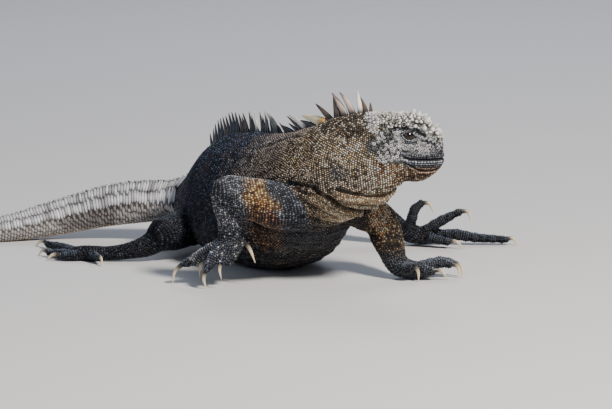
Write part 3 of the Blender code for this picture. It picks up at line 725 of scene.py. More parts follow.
# The scales: small pads of horn that the hide grows in rows, and the markings they carry. One
# scale of each form is shaped, and then set thousands of times along the lie of the coat.
def shaped_scale(sides, shoulder, height, peak, lean, pit=0.0, wall=0.3):
    """One scale's points, triangles and share of its tip colour, a unit wide, pointing to +X."""
    bpy.ops.object.select_all(action="DESELECT")
    bpy.ops.mesh.primitive_cone_add(
        vertices=sides, radius1=1.0, radius2=shoulder, depth=height, end_fill_type="TRIFAN"
    )
    pad = bpy.context.object
    bpy.ops.object.mode_set(mode="EDIT")
    bpy.ops.mesh.select_all(action="DESELECT")
    form = bmesh.from_edit_mesh(pad.data)
    form.verts.ensure_lookup_table()
    for vert in form.verts:
        vert.co.z += height / 2
    under = [v for v in form.verts if v.co.z < 0.01 and v.co.xy.length < 0.01]
    bmesh.ops.delete(form, geom=under, context="VERTS")
    if pit:
        top = [f for f in form.faces if f.calc_center_median().z > height * 0.99]
        bmesh.ops.inset_region(form, faces=top, thickness=shoulder * wall)
        middle = [v for v in form.verts if v.co.xy.length < shoulder * 0.9 and v.co.z > height * 0.9]
        for vert in middle:
            vert.co.z -= pit
    for vert in form.verts:
        if vert.co.z > height * 0.5 and vert.co.xy.length < 0.01:
            vert.co.z = peak
            vert.co.x += lean
        elif vert.co.z > height * 0.5 and not pit:
            vert.co.x += lean * 0.3
    bmesh.ops.triangulate(form, faces=form.faces)
    bmesh.update_edit_mesh(pad.data)
    bpy.ops.mesh.select_all(action="SELECT")
    bpy.ops.mesh.normals_make_consistent(inside=False)
    bpy.ops.object.mode_set(mode="OBJECT")
    shape = np.array([v.co for v in pad.data.vertices])
    triangles = np.array([f.vertices for f in pad.data.polygons])
    # The open base leaves the sides' direction to chance, so each is turned to face away.
    a, b, c = (shape[triangles[:, i]] for i in range(3))
    away = np.einsum("ij,ij->i", np.cross(b - a, c - a), (a + b + c) / 3 - (0.0, 0.0, -0.6))
    triangles[away < 0] = triangles[away < 0][:, ::-1]
    # The tip colour's share: full at the peak, less down the sides and almost none in a pit, so that the
    # darker root colour on each scale's foot and in its pit is painted shade.
    tone = np.clip(shape[:, 2] / max(height, 0.01), 0.0, 1.0)
    if pit:
        tone = np.where(shape[:, 2] < height * 0.99, 0.03, tone)
    else:
        tone = np.where(shape[:, 2] > height * 1.02, 1.0, tone * 0.45)
    bpy.data.objects.remove(pad, do_unlink=True)
    return shape, triangles, tone


GRANULE = shaped_scale(5, 0.62, 0.5, 0.85, -0.25)
KEELED = shaped_scale(6, 0.58, 0.42, 0.8, -0.4)
PLATE = shaped_scale(8, 0.84, 0.3, 0.42, 0.0)
CONE = shaped_scale(7, 0.62, 0.5, 1.15, -0.1)
CRATER = shaped_scale(8, 0.74, 0.62, 0.2, 0.0, pit=0.3)
DEEP_PIT = shaped_scale(11, 0.8, 0.62, -0.05, 0.0, pit=0.5, wall=0.2)


def marked_material(name, roughness, specular, grain, values, output, shades):
    """A material whose colour is the piece's own marking, lightened and darkened by a fine grain."""
    material, shader = new_material(name, roughness, specular)
    marking = add_node(material, "ShaderNodeAttribute", attribute_name="marking")
    place = add_node(material, "ShaderNodeTexCoord")
    pattern = add_node(material, grain, values, {"Vector": place.outputs["Object"]})
    limits = dict(zip(("From Min", "From Max", "To Min", "To Max"), shades))
    shade = add_node(material, "ShaderNodeMapRange", limits, {"Value": pattern.outputs[output]})
    tint = {"Vector": marking.outputs["Color"], "Scale": shade.outputs["Result"]}
    mixed = add_node(material, "ShaderNodeVectorMath", sources=tint, operation="SCALE")
    material.node_tree.links.new(mixed.outputs["Vector"], shader.inputs["Base Color"])
    return material, shader, pattern, shade


# Keratin over a dark hide: each scale is horn, matt in some places and a little glossy in others,
# in clouds just over a millimetre across. The colour comes from the marking that each scale and
# the hide under it share.
scale_horn, horn_shader, horn_cloud, _ = marked_material(
    "dry_keratin_scales",
    0.5,
    0.3,
    "ShaderNodeTexNoise",
    {"Scale": 0.9 / MM, "Detail": 2.0},
    "Fac",
    (0.3, 0.7, 0.72, 1.2),
)
horn_rough = add_node(
    scale_horn,
    "ShaderNodeMapRange",
    {"From Min": 0.3, "From Max": 0.7, "To Min": 0.34, "To Max": 0.58},
    {"Value": horn_cloud.outputs["Fac"]},
)
scale_horn.node_tree.links.new(horn_rough.outputs["Result"], horn_shader.inputs["Roughness"])

chance = np.random.default_rng(4)
rooted_places, rooted_colours = [], []


def settle(places, lies, limit):
    """Drop each place onto the hide. Gives which held, where, the way up, the lie and the patch."""
    kept, spots, ups, patches = [], [], [], []
    for number, place in enumerate(places):
        spot, up, face_number, gap = hide_tree.find_nearest(place * MM)
        if gap is None or gap > limit * MM:
            continue
        kept.append(number)
        spots.append(spot)
        ups.append(up)
        patches.append(hide_patches[face_number])
    kept = np.array(kept, int)
    spots = np.array(spots).reshape(-1, 3) / MM
    ups = np.array(ups).reshape(-1, 3)
    flow = lies[kept] - ups * np.einsum("ij,ij->i", lies[kept], ups)[:, None]
    length = np.linalg.norm(flow, axis=1)
    fine = length > 1e-4
    flow = flow[fine] / length[fine][:, None]
    return kept[fine], spots[fine], ups[fine], flow, np.array(patches).reshape(-1, 2)[fine]


# The scales already placed, by the cell of 4 mm that holds each, with the room that each one needs.
CELL = 4
CELLS_ROUND = [(i, j, k) for i in (-1, 0, 1) for j in (-1, 0, 1) for k in (-1, 0, 1)]
taken = {}


def crowded(cell, spot, clear):
    """Whether a scale that is already placed stands too near a spot that needs `clear` round it."""
    for i, j, k in CELLS_ROUND:
        for x, y, z, room in taken.get((cell[0] + i, cell[1] + j, cell[2] + k), ()):
            reach = (clear + room) / 2
            if (x - spot[0]) ** 2 + (y - spot[1]) ** 2 + (z - spot[2]) ** 2 < reach * reach:
                return True
    return False


def seated(places, lies, limit, room):
    """Settle places and keep those with room. Gives which they are, then what settle gives."""
    kept, *columns = settle(places, lies, limit)
    return thinned(kept, columns, np.broadcast_to(room, len(places))[kept])


def thinned(kept, columns, room):
    """Leave out the places that crowd scales already placed, and take up the rest."""
    free = []
    for number, (spot, clear) in enumerate(zip(columns[0], room)):
        cell = (int(spot[0] // CELL), int(spot[1] // CELL), int(spot[2] // CELL))
        if not crowded(cell, spot, clear):
            taken.setdefault(cell, []).append((*spot, clear))
            free.append(number)
    free = np.array(free, int)
    return [column[free] for column in (kept, *columns)]


def mark(made, colours):
    """Keep a colour for each point of a piece as its marking."""
    store = made.data.attributes.new("marking", "FLOAT_COLOR", "POINT")
    colours = np.concatenate((colours, np.ones((len(colours), 1))), axis=1)
    store.data.foreach_set("color", colours.astype(np.float32).ravel())


# How deep each scale is rooted in the hide, how light a tip may be, and the size of its UV patch.
ROOT_DEPTH, LIGHTEST, PATCH_SIZE = 0.25, 0.92, 0.0015


def coat_piece(name, form, spots, ups, flows, patches, sizes, tips, roots, jitter=0.12, spark=0.6):
    """Set one form of scale at every spot as one mesh, and keep its colours for the hide."""
    points, triangles, tone = form
    count = len(spots)
    sizes = sizes * chance.uniform(1 - jitter, 1 + jitter, (count, 3))
    across = np.cross(ups, flows)
    local = points[None] * sizes[:, None, :]
    local[:, :, 2] -= ROOT_DEPTH
    tips = np.minimum(tips * chance.uniform(1.15 - spark, 1.3 + spark, (count, 1)), LIGHTEST)
    placed = spots[:, None] + flows[:, None] * local[:, :, :1]
    placed = placed + across[:, None] * local[:, :, 1:2] + ups[:, None] * local[:, :, 2:3]
    placed[:, :, 2] = np.maximum(placed[:, :, 2], 0.0)
    joined = (triangles[None] + (np.arange(count) * len(points))[:, None, None]).reshape(-1, 3)
    made = new_piece(name, placed.reshape(-1, 3), joined.tolist())
    # Each point goes from the root colour to the tip colour by its share; the dark roots are painted
    # shade between the scales.
    tone = tone[None, :, None]
    mark(made, (roots[:, None] * (1 - tone) + tips[:, None] * tone).reshape(-1, 3))
    patch = patches[:, None] + points[None, :, :2] * PATCH_SIZE
    layer = made.data.uv_layers.new(name="OFBake")
    layer.data.foreach_set("uv", patch[:, triangles.ravel()].astype(np.float32).ravel())
    made.data.shade_smooth()
    made.data.materials.append(scale_horn)
    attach(made, "root")
    rooted_places.append(spots)
    # The hide under the scales takes their root colour, darker still: painted shade between them.
    rooted_colours.append(roots * 0.7 + tips * 0.07)


def laid(base, *layers):
    """Lay colours over a base one after another, each with its strength at every place."""
    if isinstance(base, str):
        base = np.tile(hex_colour(base), (len(layers[0][1]), 1))
    for colour, strength in layers:
        strength = np.clip(strength, 0.0, 1.0)[:, None]
        colour = hex_colour(colour) if isinstance(colour, str) else colour
        base = base * (1 - strength) + colour * strength
    return base


def patch_at(places, middle, size):
    """Strength of a soft-edged patch, 1 at its middle and 0 past its size, at each place."""
    away = np.linalg.norm((places - np.asarray(middle)) / np.asarray(size), axis=1)
    away = away * (1.0 + 0.3 * rumple(places, 8.0, 91) + 0.22 * rumple(places, 3.5, 92))
    return np.clip((1.15 - away) / 0.4, 0.0, 1.0)


# The coat of the neck, trunk and pelvis: grains of horn about two millimetres across, in rows that
# run down the flank. They are tan and cream on the neck and throat, and near black over the trunk,
# with a painted blue cast of sky light in shade and painted grey-blue highlights on some keels.
def body_markings(places, keys):
    """The tip and root colours of the scales on the body, from where each one grows."""
    height = places[:, 2]
    cloud = rumple(places, 17.0, 21) * 0.5 + rumple(places, 7.0, 22) * 0.5
    fleck = chance.uniform(0.0, 1.0, len(places))
    back = ramp(keys - 30 * cloud, 190, 240)
    neck = ramp(keys - 50 * cloud, 235, 135) * ramp(height, 60, 82)
    shade = 0.45 + 0.55 * ramp(keys, 145, 95)
    bright = np.clip(0.5 + 0.5 * cloud + 0.75 * (fleck - 0.4), 0.03, 1) * shade
    yellow = neck * ramp(keys, 150, 130) * ramp(height, 112, 122)
    flank = neck * ramp(keys, 135, 185)
    cheek = patch_at(places, (112, -148, 116), (20, 30, 22))
    cheek += patch_at(places, (112, -88, 116), (20, 30, 22))
    red = cheek * ramp(places[:, 0], 96, 110) * ramp(height, 102, 110)
    gular = ramp(height, 104, 94) * ramp(keys, 116, 102)
    throat = ramp(height, 106, 96) * ramp(keys, 150, 120) * (1 - gular)
    fan = np.clip(1.25 - np.abs(keys - 136) / 22, 0, 1) * ramp(height, 100, 92)
    ear = patch_at(places, (101, -150, 148), (8, 24, 9)) + patch_at(places, (101, -86, 148), (8, 24, 9))
    blue = patch_at(places, (68, -148, 122), (10, 16, 9)) + patch_at(places, (60, -60, 122), (10, 16, 9))
    nape = ramp(height - 6 * cloud, 148, 162) * ramp(keys, 150, 130)
    chin = ramp(height, 126, 121) * ramp(keys, 52, 46)
    belly = ramp(height, 48, 28) * ramp(keys, 100, 120)
    rusty = ramp(keys, 190, 220) * np.clip(cloud * 1.6, 0, 1)
    armpit = patch_at(places, (-4, -90, 54), (22, 22, 22)) * (0.7 + 0.6 * cloud)
    # Painted shade in the deep folds: how near each scale lies to a fold deeper than 1 mm.
    fold_shade = np.zeros(len(places))
    for path, depth, width in FOLDS:
        if depth > 1.0:
            shadow = mound(near_line(np.stack((keys, height), axis=1), path), 0.75 * width)
            fold_shade = np.maximum(fold_shade, shadow * min(depth / 2.2, 1.0))
    tips = laid(
        "212530",
        # The back's own near black, with a painted blue cast of the sky light in shade.
        ("12213a", back * 0.94),
        # Grey-blue flecks on some keels are painted highlights, fewer over the back.
        ("a0a7b6", (fleck > 0.72) * (0.88 - 0.64 * back)),
        ("0c0d12", (fleck < 0.22) * 0.8),
        ("7c695a", neck * 0.85),
        ("eedcc6", neck * bright),
        ("a98f58", yellow * (fleck > 0.3) * (fleck < 0.6) * 0.6),
        (hex_colour("3b2a20") * 0.6, neck * (fleck < 0.15) * 0.7),
        ("625a5c", flank * 0.6),
        ("a4704c", red * (fleck < 0.42) * 0.8),
        ("f1e2c8", cheek * (fleck >= 0.42) * 0.9),
        ("c7a57e", gular),
        ("f3dfbd", gular * (fleck > 0.5)),
        ("a88c6c", throat * (0.5 + 0.6 * cloud)),
        ("3b2a20", throat * (fleck < 0.25)),
        ("4a505b", fan * 0.9),
        ("3f4953", ear * 0.85),
        ("46525e", blue * 0.6),
        ("352c26", nape * 0.8 * (fleck < 0.78)),
        ("7f6350", chin),
        ("ddc3a0", chin * (fleck > 0.72)),
        ("3b2a20", chin * (fleck < 0.3) * 0.9),
        ("403d3e", belly * 0.8),
        ("8a7d72", belly * (cloud > 0.1) * (fleck > 0.55) * 0.7),
        ("57403a", rusty * 0.35),
        # A few bluish flecks over the back are painted highlights.
        ("4d5c76", back * (fleck > 0.86) * 0.8),
        ("8d6c50", armpit * 0.8),
        ("c9a27a", armpit * (fleck > 0.8)),
        # Painted shade: black laid into the deep folds of the flank and throat.
        ("000000", fold_shade * 0.86),
        ("83838a", ramp(keys, 362, 384) * 0.8),
    )
    # The roots are the tips darkened toward black: painted shade at each scale's foot, between the
    # scales.
    roots = laid(tips * 0.14, ("0b0b0d", np.full(len(tips), 0.6)))
    return tips, laid(roots, (tips * 0.3, gular * 0.8 + belly * 0.3 + chin * 0.3))


def body_rows(start, stop, pitch, across):
    """Places in rows down both flanks, with the way to the tail and how far back each one is."""
    sweep = np.arange(start, stop, 0.25)
    run = run_along(on_body(sweep, np.full(len(sweep), math.pi)))
    rows = np.interp(np.arange(0.0, run[-1], pitch), run, sweep)
    all_keys, all_angles = [], []
    for number, key in enumerate(rows):
        for turn in (1, -1):
            angles = math.pi / 2 + turn * np.linspace(0.0, math.pi, 260)
            length = run_along(on_body(np.full(260, key), angles))
            steps = np.arange(across * (0.25 + 0.5 * (number % 2)), length[-1], across)
            all_angles.append(np.interp(steps, length, angles))
            all_keys.append(np.full(len(steps), key))
    keys = np.concatenate(all_keys)
    angles = np.concatenate(all_angles)
    flat = on_body(keys, angles)
    keys = np.clip(keys + 3.2 * rumple(flat, 26.0, 61) + 0.45 * rumple(flat, 3.0, 62), start, stop)
    angles = angles + 0.045 * rumple(flat, 22.0, 63) + 0.008 * rumple(flat, 2.5, 64)
    places = on_body(keys, angles)
    return places, unit(on_body(np.minimum(keys + 1.5, STATION_KEYS[-1]), angles) - places), keys


# Legs: keeled pads in rings, silver-grey on the right forearm, ochre behind its elbow and on the
# left arm, and near black on the hind legs. The toes wear broad rings of them, with a painted
# highlight along their tops and painted shade below.
def leg_rows(stops, pitch, across, round_start=True):
    """Places in rings along one length of a leg, with the way to the toes and how high on top."""
    places, lies, tops = [], [], []
    frames = leg_frames(stops, pitch, round_start)
    for number, row in enumerate(frames[:-2]):
        count = max(5, round(2 * math.pi * row[1] / across))
        angles = (np.arange(count) + 0.5 * (number % 2)) * 2 * math.pi / count
        round_leg = on_leg(row, angles)
        slide = 1.7 * rumple(round_leg, 13.0, 71) + 0.42 * row[1] * np.sin(angles + 0.5)
        slide = slide + chance.normal(0.0, 0.3, count)
        uneven = 1.6 * rumple(round_leg, 11.0, 72) + 0.6 * rumple(round_leg, 2.6, 73)
        turned = angles + (uneven + chance.normal(0.0, 0.25, count)) / max(row[1], 3.0)
        easy = row[4] if row[1] > 9 else 0.25 * row[4]
        turned = angles + (turned - angles) * easy
        places.append(on_leg(row, turned) + row[2] * (slide * easy)[:, None])
        lies.append(np.tile(row[2], (count, 1)))
        tops.append(np.sin(angles))
    return np.concatenate(places), np.concatenate(lies), np.concatenate(tops)


def leg_markings(leg, places, on_toes):
    """The tip and root colours of the scales on one leg."""
    cloud = rumple(places, 12.0, 31) * 0.5 + rumple(places, 5.0, 32) * 0.5
    fleck = chance.uniform(0.0, 1.0, len(places))
    x, height = places[:, 0], places[:, 2]
    if leg == "right_fore":
        ochre = patch_at(places, (-8, -136, 95), (17, 24, 19)) * (0.85 + 0.4 * cloud)
        under = patch_at(places, (-4, -130, 71), (19, 26, 17))
        low = ramp(height - 8 * cloud, 68, 54) * ramp(x, -18, -26)
        fan = ramp(x - np.interp(height, (62, 90, 104), (13, 6, -9)) - 5 * cloud, 0, 7)
        tips = laid(
            "6a6d77",
            ("a3a7b1", 0.35 + cloud),
            (hex_colour("5d626c") * 0.45, (fleck < 0.42) * 0.8),
            # Near-white flecks on some scales are painted highlights.
            (hex_colour("eeebe4") * 0.7, (fleck > 0.86) * 0.5),
            ("b48756", ochre),
            ("e6c592", ochre * (fleck > 0.62)),
            ("5d3b26", ochre * (fleck < 0.25)),
            ("5f4233", under * 0.85),
            ("b98766", under * (fleck > 0.78)),
            ("2f333e", low * 0.8 * (fleck < 0.85)),
            ("363b46", fan * 0.96),
            ("7c8391", fan * (fleck > 0.7) * 0.7),
        )
    elif leg == "left_fore":
        light = patch_at(places, (112, -74, 63), (14, 26, 18)) * (1.2 + 0.4 * cloud)
        armpit = patch_at(places, (82, -84, 62), (17, 22, 24))
        tips = laid(
            "40372f",
            ("d8a475", light * 0.9),
            ("ffeccd", light * (fleck > 0.45)),
            ("a58867", (fleck > 0.72) * 0.7 * ramp(height, 20, 36)),
            ("25221f", (fleck < 0.35) * (0.85 - 0.6 * np.clip(light, 0, 1))),
            ("3c3230", armpit * 0.8),
            (hex_colour("5d626c") * 0.62, ramp(height, 32, 20) * 0.9),
        )
    else:
        tips = laid("111927", ("4b525f", (fleck > 0.8) * 0.6), ("30262a", (cloud > 0.3) * 0.5))
    if on_toes:
        tips = laid(tips, ("3a414e", np.full(len(tips), 0.55)))
    # The roots are the tips darkened: painted shade at each scale's foot, deeper on the toes.
    return tips, tips * (0.1 if on_toes else 0.16)


# The head's horn: bead-like scales round each eye, long dark plates along the lips, pitted knobs
# on the cheek and temple, small plates on the muzzle, and salt-white cones over the crown.
mouth_x, mouth_z = np.array(MOUTH_LINE).T


def shell_path(rise, first_key, last_key):
    """Points over the right half of the head's shell at a height above or below the mouth's line."""
    turn = np.linspace(math.pi * 0.5, math.pi * 1.5, 361)
    spots = []
    for key in np.linspace(first_key, last_key, 700):
        ring = on_body(np.full(361, key), turn)
        goal = np.interp(ring[180, 0], mouth_x, mouth_z) + rise
        spots.append(ring[np.argmin(np.abs(ring[:, 2] - goal))])
    return np.array(spots)


def spaced(path, step, start=0.0):
    """Places at even steps along a path, with the way along it at each."""
    run = run_along(path)
    at = np.arange(start, run[-1], step)
    places, ahead = (
        np.stack([np.interp(a, run, path[:, i]) for i in range(3)], axis=1) for a in (at, at + 0.5)
    )
    lies = ahead - places
    lies[np.linalg.norm(lies, axis=1) < 1e-6] = (1.0, 0.0, 0.0)
    return places, lies


def both_sides(places, lies):
    """The same places on both sides of the head."""
    mirror = places.copy()
    mirror[:, 1] = 2 * HEAD_MIDDLE - mirror[:, 1]
    other = lies * (1, -1, 1)
    return np.concatenate((places, mirror)), np.concatenate((lies, other))


face_sets = []


# Each face scale's root colour, a darkened tip, is painted shade at its foot and in its pit.
def face_scales(places, lies, form, size, tips, roots, room, limit=4.0):
    """Settle one kind of face scale and keep it to be joined with the others of its form."""
    kept, *columns = seated(places, lies, limit, room)
    picks = [np.broadcast_to(values, (len(places), 3))[kept] for values in (size, tips, roots)]
    face_sets.append((form, *columns, *picks))


# The lip plates' roots are near black: painted shade between the plates.
LIP_DARK = hex_colour("191a1e")
# Three rings of beads round each lid opening, each its distance out, size, spacing and colour: a pale
# rim, a dark ring in the lids' crease, which is painted shade, and a pale grey ring outside.
LID_BEADS = ((0.5, 0.62, 1.1, "c9ccd3"), (1.6, 0.66, 1.3, "24252b"), (2.9, 0.95, 1.7, "a9acb4"))
for gap, size, step, bead_colour in LID_BEADS:
    rim = []
    for a in np.linspace(0.0, 2 * math.pi, 400, endpoint=False):
        ray = np.arange(0.5, 14.0, 0.05)
        line = EYE[[0, 2]] + ray[:, None] * np.array((math.cos(a), math.sin(a)))
        reached = ray[np.argmin(np.abs(lid_opening(line) - gap))]
        spot = EYE[[0, 2]] + reached * np.array((math.cos(a), math.sin(a)))
        deep = math.sqrt(max((LID_RADIUS + 0.3) ** 2 - reached**2, 0.0))
        rim.append((spot[0], HEAD_MIDDLE - EYE[1] - deep, spot[1]))
    beads, ways = both_sides(*spaced(np.array(rim), step))
    shade = chance.uniform(0.75, 1.1, len(beads))[:, None] * hex_colour(bead_colour)
    bead = (size, size * 0.85, size * 0.8)
    face_scales(beads, ways, GRANULE, bead, shade, shade * 0.12, size * 1.1, 3.0)

# Each row along a lip is its height over the mouth, its first and last place, the plates' spacing,
# their size and their colour.
LIP_ROWS = (
    (2.0, 0.8, 44.0, 3.3, (1.75, 1.25, 0.8), "4b4e58"),
    (-2.1, 0.8, 43.0, 3.4, (1.8, 1.0, 0.9), "8f939d"),
    (-4.6, 1.4, 41.0, 3.1, (1.7, 0.95, 0.8), "7c8089"),
    (-6.9, 2.0, 38.0, 2.8, (1.5, 0.9, 0.7), "5b5e67"),
    (-9.1, 3.0, 36.0, 2.6, (1.4, 0.9, 0.7), "8d7460"),
    (-11.2, 4.0, 35.0, 2.5, (1.35, 0.9, 0.7), "6d5848"),
    (-13.3, 5.0, 34.0, 2.4, (1.3, 0.9, 0.7), "ad9074"),
    (4.3, 1.0, 43.0, 2.6, (1.4, 1.1, 0.7), "666a73"),
)
for rise, first, last, step, size, colour in LIP_ROWS:
    plates, ways = both_sides(*spaced(shell_path(rise, first, last), step, step * 0.4))
    shade = chance.uniform(0.7, 1.15, len(plates))[:, None] * hex_colour(colour)
    face_scales(plates, ways, PLATE, size, shade, LIP_DARK * 0.6, size[1] * 1.5)

# Chance places all over the head, as thick on every face of the hide as its size allows. Each kind
# of horn takes its own from them, the largest first.
DARTS = 52000
corners = np.array(hide_corners)
middles = corners.mean(axis=1)
onto_head = (middles[:, 0] > 96) & (middles[:, 1] < -70) & (middles[:, 2] > 114)
corners = corners[onto_head]
spans = np.linalg.norm(np.cross(corners[:, 1] - corners[:, 0], corners[:, 2] - corners[:, 0]), axis=1)
picked = chance.choice(len(corners), DARTS, p=spans / spans.sum())
u, v = chance.uniform(0, 1, (2, DARTS))
u, v = np.where(u + v > 1, 1 - u, u)[:, None], np.where(u + v > 1, 1 - v, v)[:, None]
darts = corners[picked, 0] * (1 - u - v) + corners[picked, 1] * u + corners[picked, 2] * v
x, z = darts[:, 0], darts[:, 2]
profile = darts[:, [0, 2]]
above_brow = z - np.interp(x, *np.array(((90, 163), *BROW_RIDGE, (176, 149))).T)
above_mouth = z - np.interp(x, mouth_x, mouth_z)
eye_gap = np.hypot(x - EYE[0], z - EYE[2])
ragged = 5.0 * rumple(darts, 6.0, 46) + 2.5 * rumple(darts, 2.5, 47)
crown = (above_brow > -1.5 + 0.4 * ragged) & (x > 105 + ragged)
temple = (x > 105 + 1.6 * ragged + (150 - z) * 0.3) & (x < 131) & (z > 133 + 0.3 * ragged)
temple &= ~crown & (eye_gap > 9)
muzzle = ~crown & ~temple & (above_mouth > 5.0) & (x >= 124)
down = np.tile((-1.0, 0.0, -0.2), (DARTS, 1))
dusty = chance.uniform(0.0, 1.0, DARTS)
mottle = rumple(darts, 5.0, 41) * 0.6 + rumple(darts, 2.6, 42) * 0.4
# The mottle darkens along the face's sunk seams: painted shade in the grooves.
seam_gap = np.min([near_line(profile, seam) for seam in FACE_SEAMS], axis=0)
mottle = mottle - np.where(x > 131, 0.75, 0.45) * ~crown * mound(seam_gap, 1.3)
# Along the groove under the brow's ridge the face scales lose their pale colour: painted shade under the
# brow.
under_gap = near_line(profile, UNDER_BROW)
in_light = np.clip(under_gap / 1.7 - 0.4, 0.0, 1.0)

# Deep pits in rings of horn stand in a broken row over the brow and down the temple. Each is its
# x, its height and its radius.
CRATER_PLACES = (
    (110.5, 166.5, 2.4), (118.5, 171.0, 2.3), (125.0, 171.5, 2.6), (132.8, 168.3, 2.3),
    (141.0, 170.0, 1.8), (149.2, 167.2, 2.3), (156.0, 164.0, 2.0), (113.5, 160.0, 2.0),
    (117.0, 153.5, 1.8), (111.0, 149.0, 1.9), (121.5, 158.6, 1.7), (117.5, 144.0, 1.8),
    (112.5, 140.5, 1.6), (162.5, 157.0, 1.7),
)
crater_x, crater_z, crater_radius = np.array(CRATER_PLACES).T
nearest_darts = []
for x_at, z_at in zip(crater_x, crater_z):
    near = np.hypot(x - x_at, z - z_at) + 50.0 * (darts[:, 1] > HEAD_MIDDLE)
    nearest_darts.append(np.argmin(near))
ring_spots, ring_lies = both_sides(darts[nearest_darts], down[nearest_darts])
ring_radius = np.tile(crater_radius, 2)
ring_size = np.stack((ring_radius, ring_radius, ring_radius * 0.8), axis=1)
ring_tips = hex_colour("e2ddd2") * chance.uniform(0.35, 0.75, (len(ring_radius), 1))
# Their pits take a near-black root colour: painted shade in the pits.
face_scales(ring_spots, ring_lies, DEEP_PIT, ring_size, ring_tips, ring_tips * 0.03, ring_radius * 1.9)

# Three grades of cone, the largest first: which places, how broad, and how they rear to the front.
CONE_GRADES = ((0.8, 1.0, 1.35, 0.7), (0.4, 0.8, 1.0, 0.6), (-1.0, 0.4, 0.6, 0.6))
for least, most, broad, rearing in CONE_GRADES:
    pick = np.flatnonzero(crown & (dusty > least) & (dusty <= most))
    ahead = ramp(x[pick], 120, 150)
    width = (1.5 + 0.95 * ahead) * chance.uniform(0.75, 1.3, len(pick)) * broad
    if broad > 1.0:
        # One in twenty of the largest stands, and none at the back of the head.
        few = np.flatnonzero(ahead > 0.05)
        few = few[chance.uniform(0, 1, len(few)) < 0.05]
        pick, ahead, width = pick[few], ahead[few], width[few]
    tall = width * (0.65 + rearing * ahead * chance.uniform(0.1, 1.3, len(pick)))
    size = np.stack((width, width, tall), axis=1)
    stained = chance.uniform(0, 1, len(pick)) < 0.15
    tips = laid("5d5954", ("fffaf0", 0.92 + 1.3 * mottle[pick] + 0.3 * ahead), ("cdb08c", stained * 0.6))
    face_scales(darts[pick], down[pick], CONE, size, tips, tips * 0.16, width * 1.85)


# The knobs' pits and walls take a near-black root colour: painted shade.
def pitted_knobs(pick, width, flatness, tips, room):
    """Set pitted knobs of horn at the picked places on the face."""
    size = np.stack((width, width, width * flatness), axis=1)
    face_scales(darts[pick], down[pick], CRATER, size, tips, tips * 0.06, width * room)


width = np.clip(1.4 + 0.6 * rumple(darts[temple], 6.0, 44), 0.95, 2.1)
light = np.clip(0.92 + 1.2 * mottle[temple], 0.0, 1.0) * in_light[temple]
pitted_knobs(temple, width, 1.0, laid("4d5057", ("f2f3f5", light)), 1.85)
pick = muzzle & (eye_gap > 8.5)
width = np.clip(1.05 + 0.3 * rumple(darts[pick], 4.0, 45), 0.75, 1.45)
light = np.clip(0.98 + 1.3 * mottle[pick], 0.0, 1.0) * (under_gap[pick] > 1.6)
light = light * np.clip((above_mouth[pick] - 5.0) / 5.0, 0.3, 1.0)
pitted_knobs(pick, width, 0.75, laid("4c5059", ("f6f9ff", light)), 1.95)
pick = (eye_gap <= 12) & ~crown & (eye_gap > 5.5)
shade = hex_colour("b3b7c0") * chance.uniform(0.5, 1.1, pick.sum())[:, None]
# The granules above the eye are darkened: painted shadow under the brow.
shade = laid(shade, ("1b1c21", (z[pick] > EYE[2] + 4.5) * 0.9))
face_scales(darts[pick], down[pick], GRANULE, (0.85, 0.85, 0.6), shade, shade * 0.12, 1.4)
# Grains fill what room is left between the larger scales of the face.
pick = np.flatnonzero((crown | temple | muzzle) & (eye_gap > 6.5))[::2]
tips = laid("2b2c30", ("c6c6c8", np.clip(0.5 + 1.2 * mottle[pick], 0.0, 1.0) * in_light[pick]))
face_scales(darts[pick], down[pick], GRANULE, (0.52, 0.52, 0.5), tips, tips * 0.12, 0.7)
forms = {id(entry[0]): entry[0] for entry in face_sets}
for number, form in enumerate(forms.values(), 1):
    group = [entry[1:] for entry in face_sets if entry[0] is form]
    coat_piece(f"face_scales_{number}", form, *(np.concatenate(column) for column in zip(*group)))

# The body's own coat, in five lots from the head back. None grows on the face, which has its horn.
places, lies, keys = body_rows(3.0, 392.0, 2.4, 2.1)
x, z = places[:, 0], places[:, 2]
mouth_height = np.interp(x, mouth_x, mouth_z)
wanted = (keys > 52) | (z < mouth_height - 7.0)
wanted &= ~((x > 124) & (z > mouth_height))
wanted &= ~((x > 109) & (z > 135))
kept, spots, ups, flows, patches = seated(places[wanted], lies[wanted], 4.5, 1.75)
keys = keys[wanted][kept]
tips, roots = body_markings(spots, keys)
width = 0.97 + 0.14 * ramp(keys, 120, 200)
sizes = np.stack((width * 1.12, width, 0.95 * width), axis=1)
LOT_EDGES = (0, 104, 150, 215, 290, 420)
for number, (first, last) in enumerate(zip(LOT_EDGES[:-1], LOT_EDGES[1:]), 1):
    lot = (keys >= first) & (keys < last)
    columns = [column[lot] for column in (spots, ups, flows, patches, sizes, tips, roots)]
    coat_piece(f"body_scales_{number}", KEELED, *columns)

for leg, parts in LEGS.items():
    leg_sets = []
    runs = [(parts[part], False) for part in ("upper", "lower", "palm")]
    runs += [(stops, True) for stops in parts["digits"]]
    pitches = (2.3, 2.1) if leg.endswith("fore") else (2.5, 2.2)
    for stops, on_toes in runs:
        pitch, across = (2.3, 2.2) if on_toes else pitches
        places, lies, tops = leg_rows(stops, pitch, across, not on_toes)
        kept, spots, *columns = seated(places, lies, 2.2, pitch * 0.74)
        tips, roots = leg_markings(leg, spots, on_toes)
        if on_toes:
            # Painted light on the toes: tips brightened along the top of each toe and darkened below it.
            tips = tips * (0.7 + 2.0 * np.clip(tops[kept], 0, 1)[:, None] ** 2)
        size = (pitch * 0.56, across * 0.5 * 1.05, 1.35 if on_toes else 1.05)
        leg_sets.append((spots, *columns, np.tile(size, (len(spots), 1)), tips, roots))
    joined_sets = [np.concatenate(column) for column in zip(*leg_sets)]
    coat_piece(f"{leg}_scales", KEELED, *joined_sets, spark=0.4)

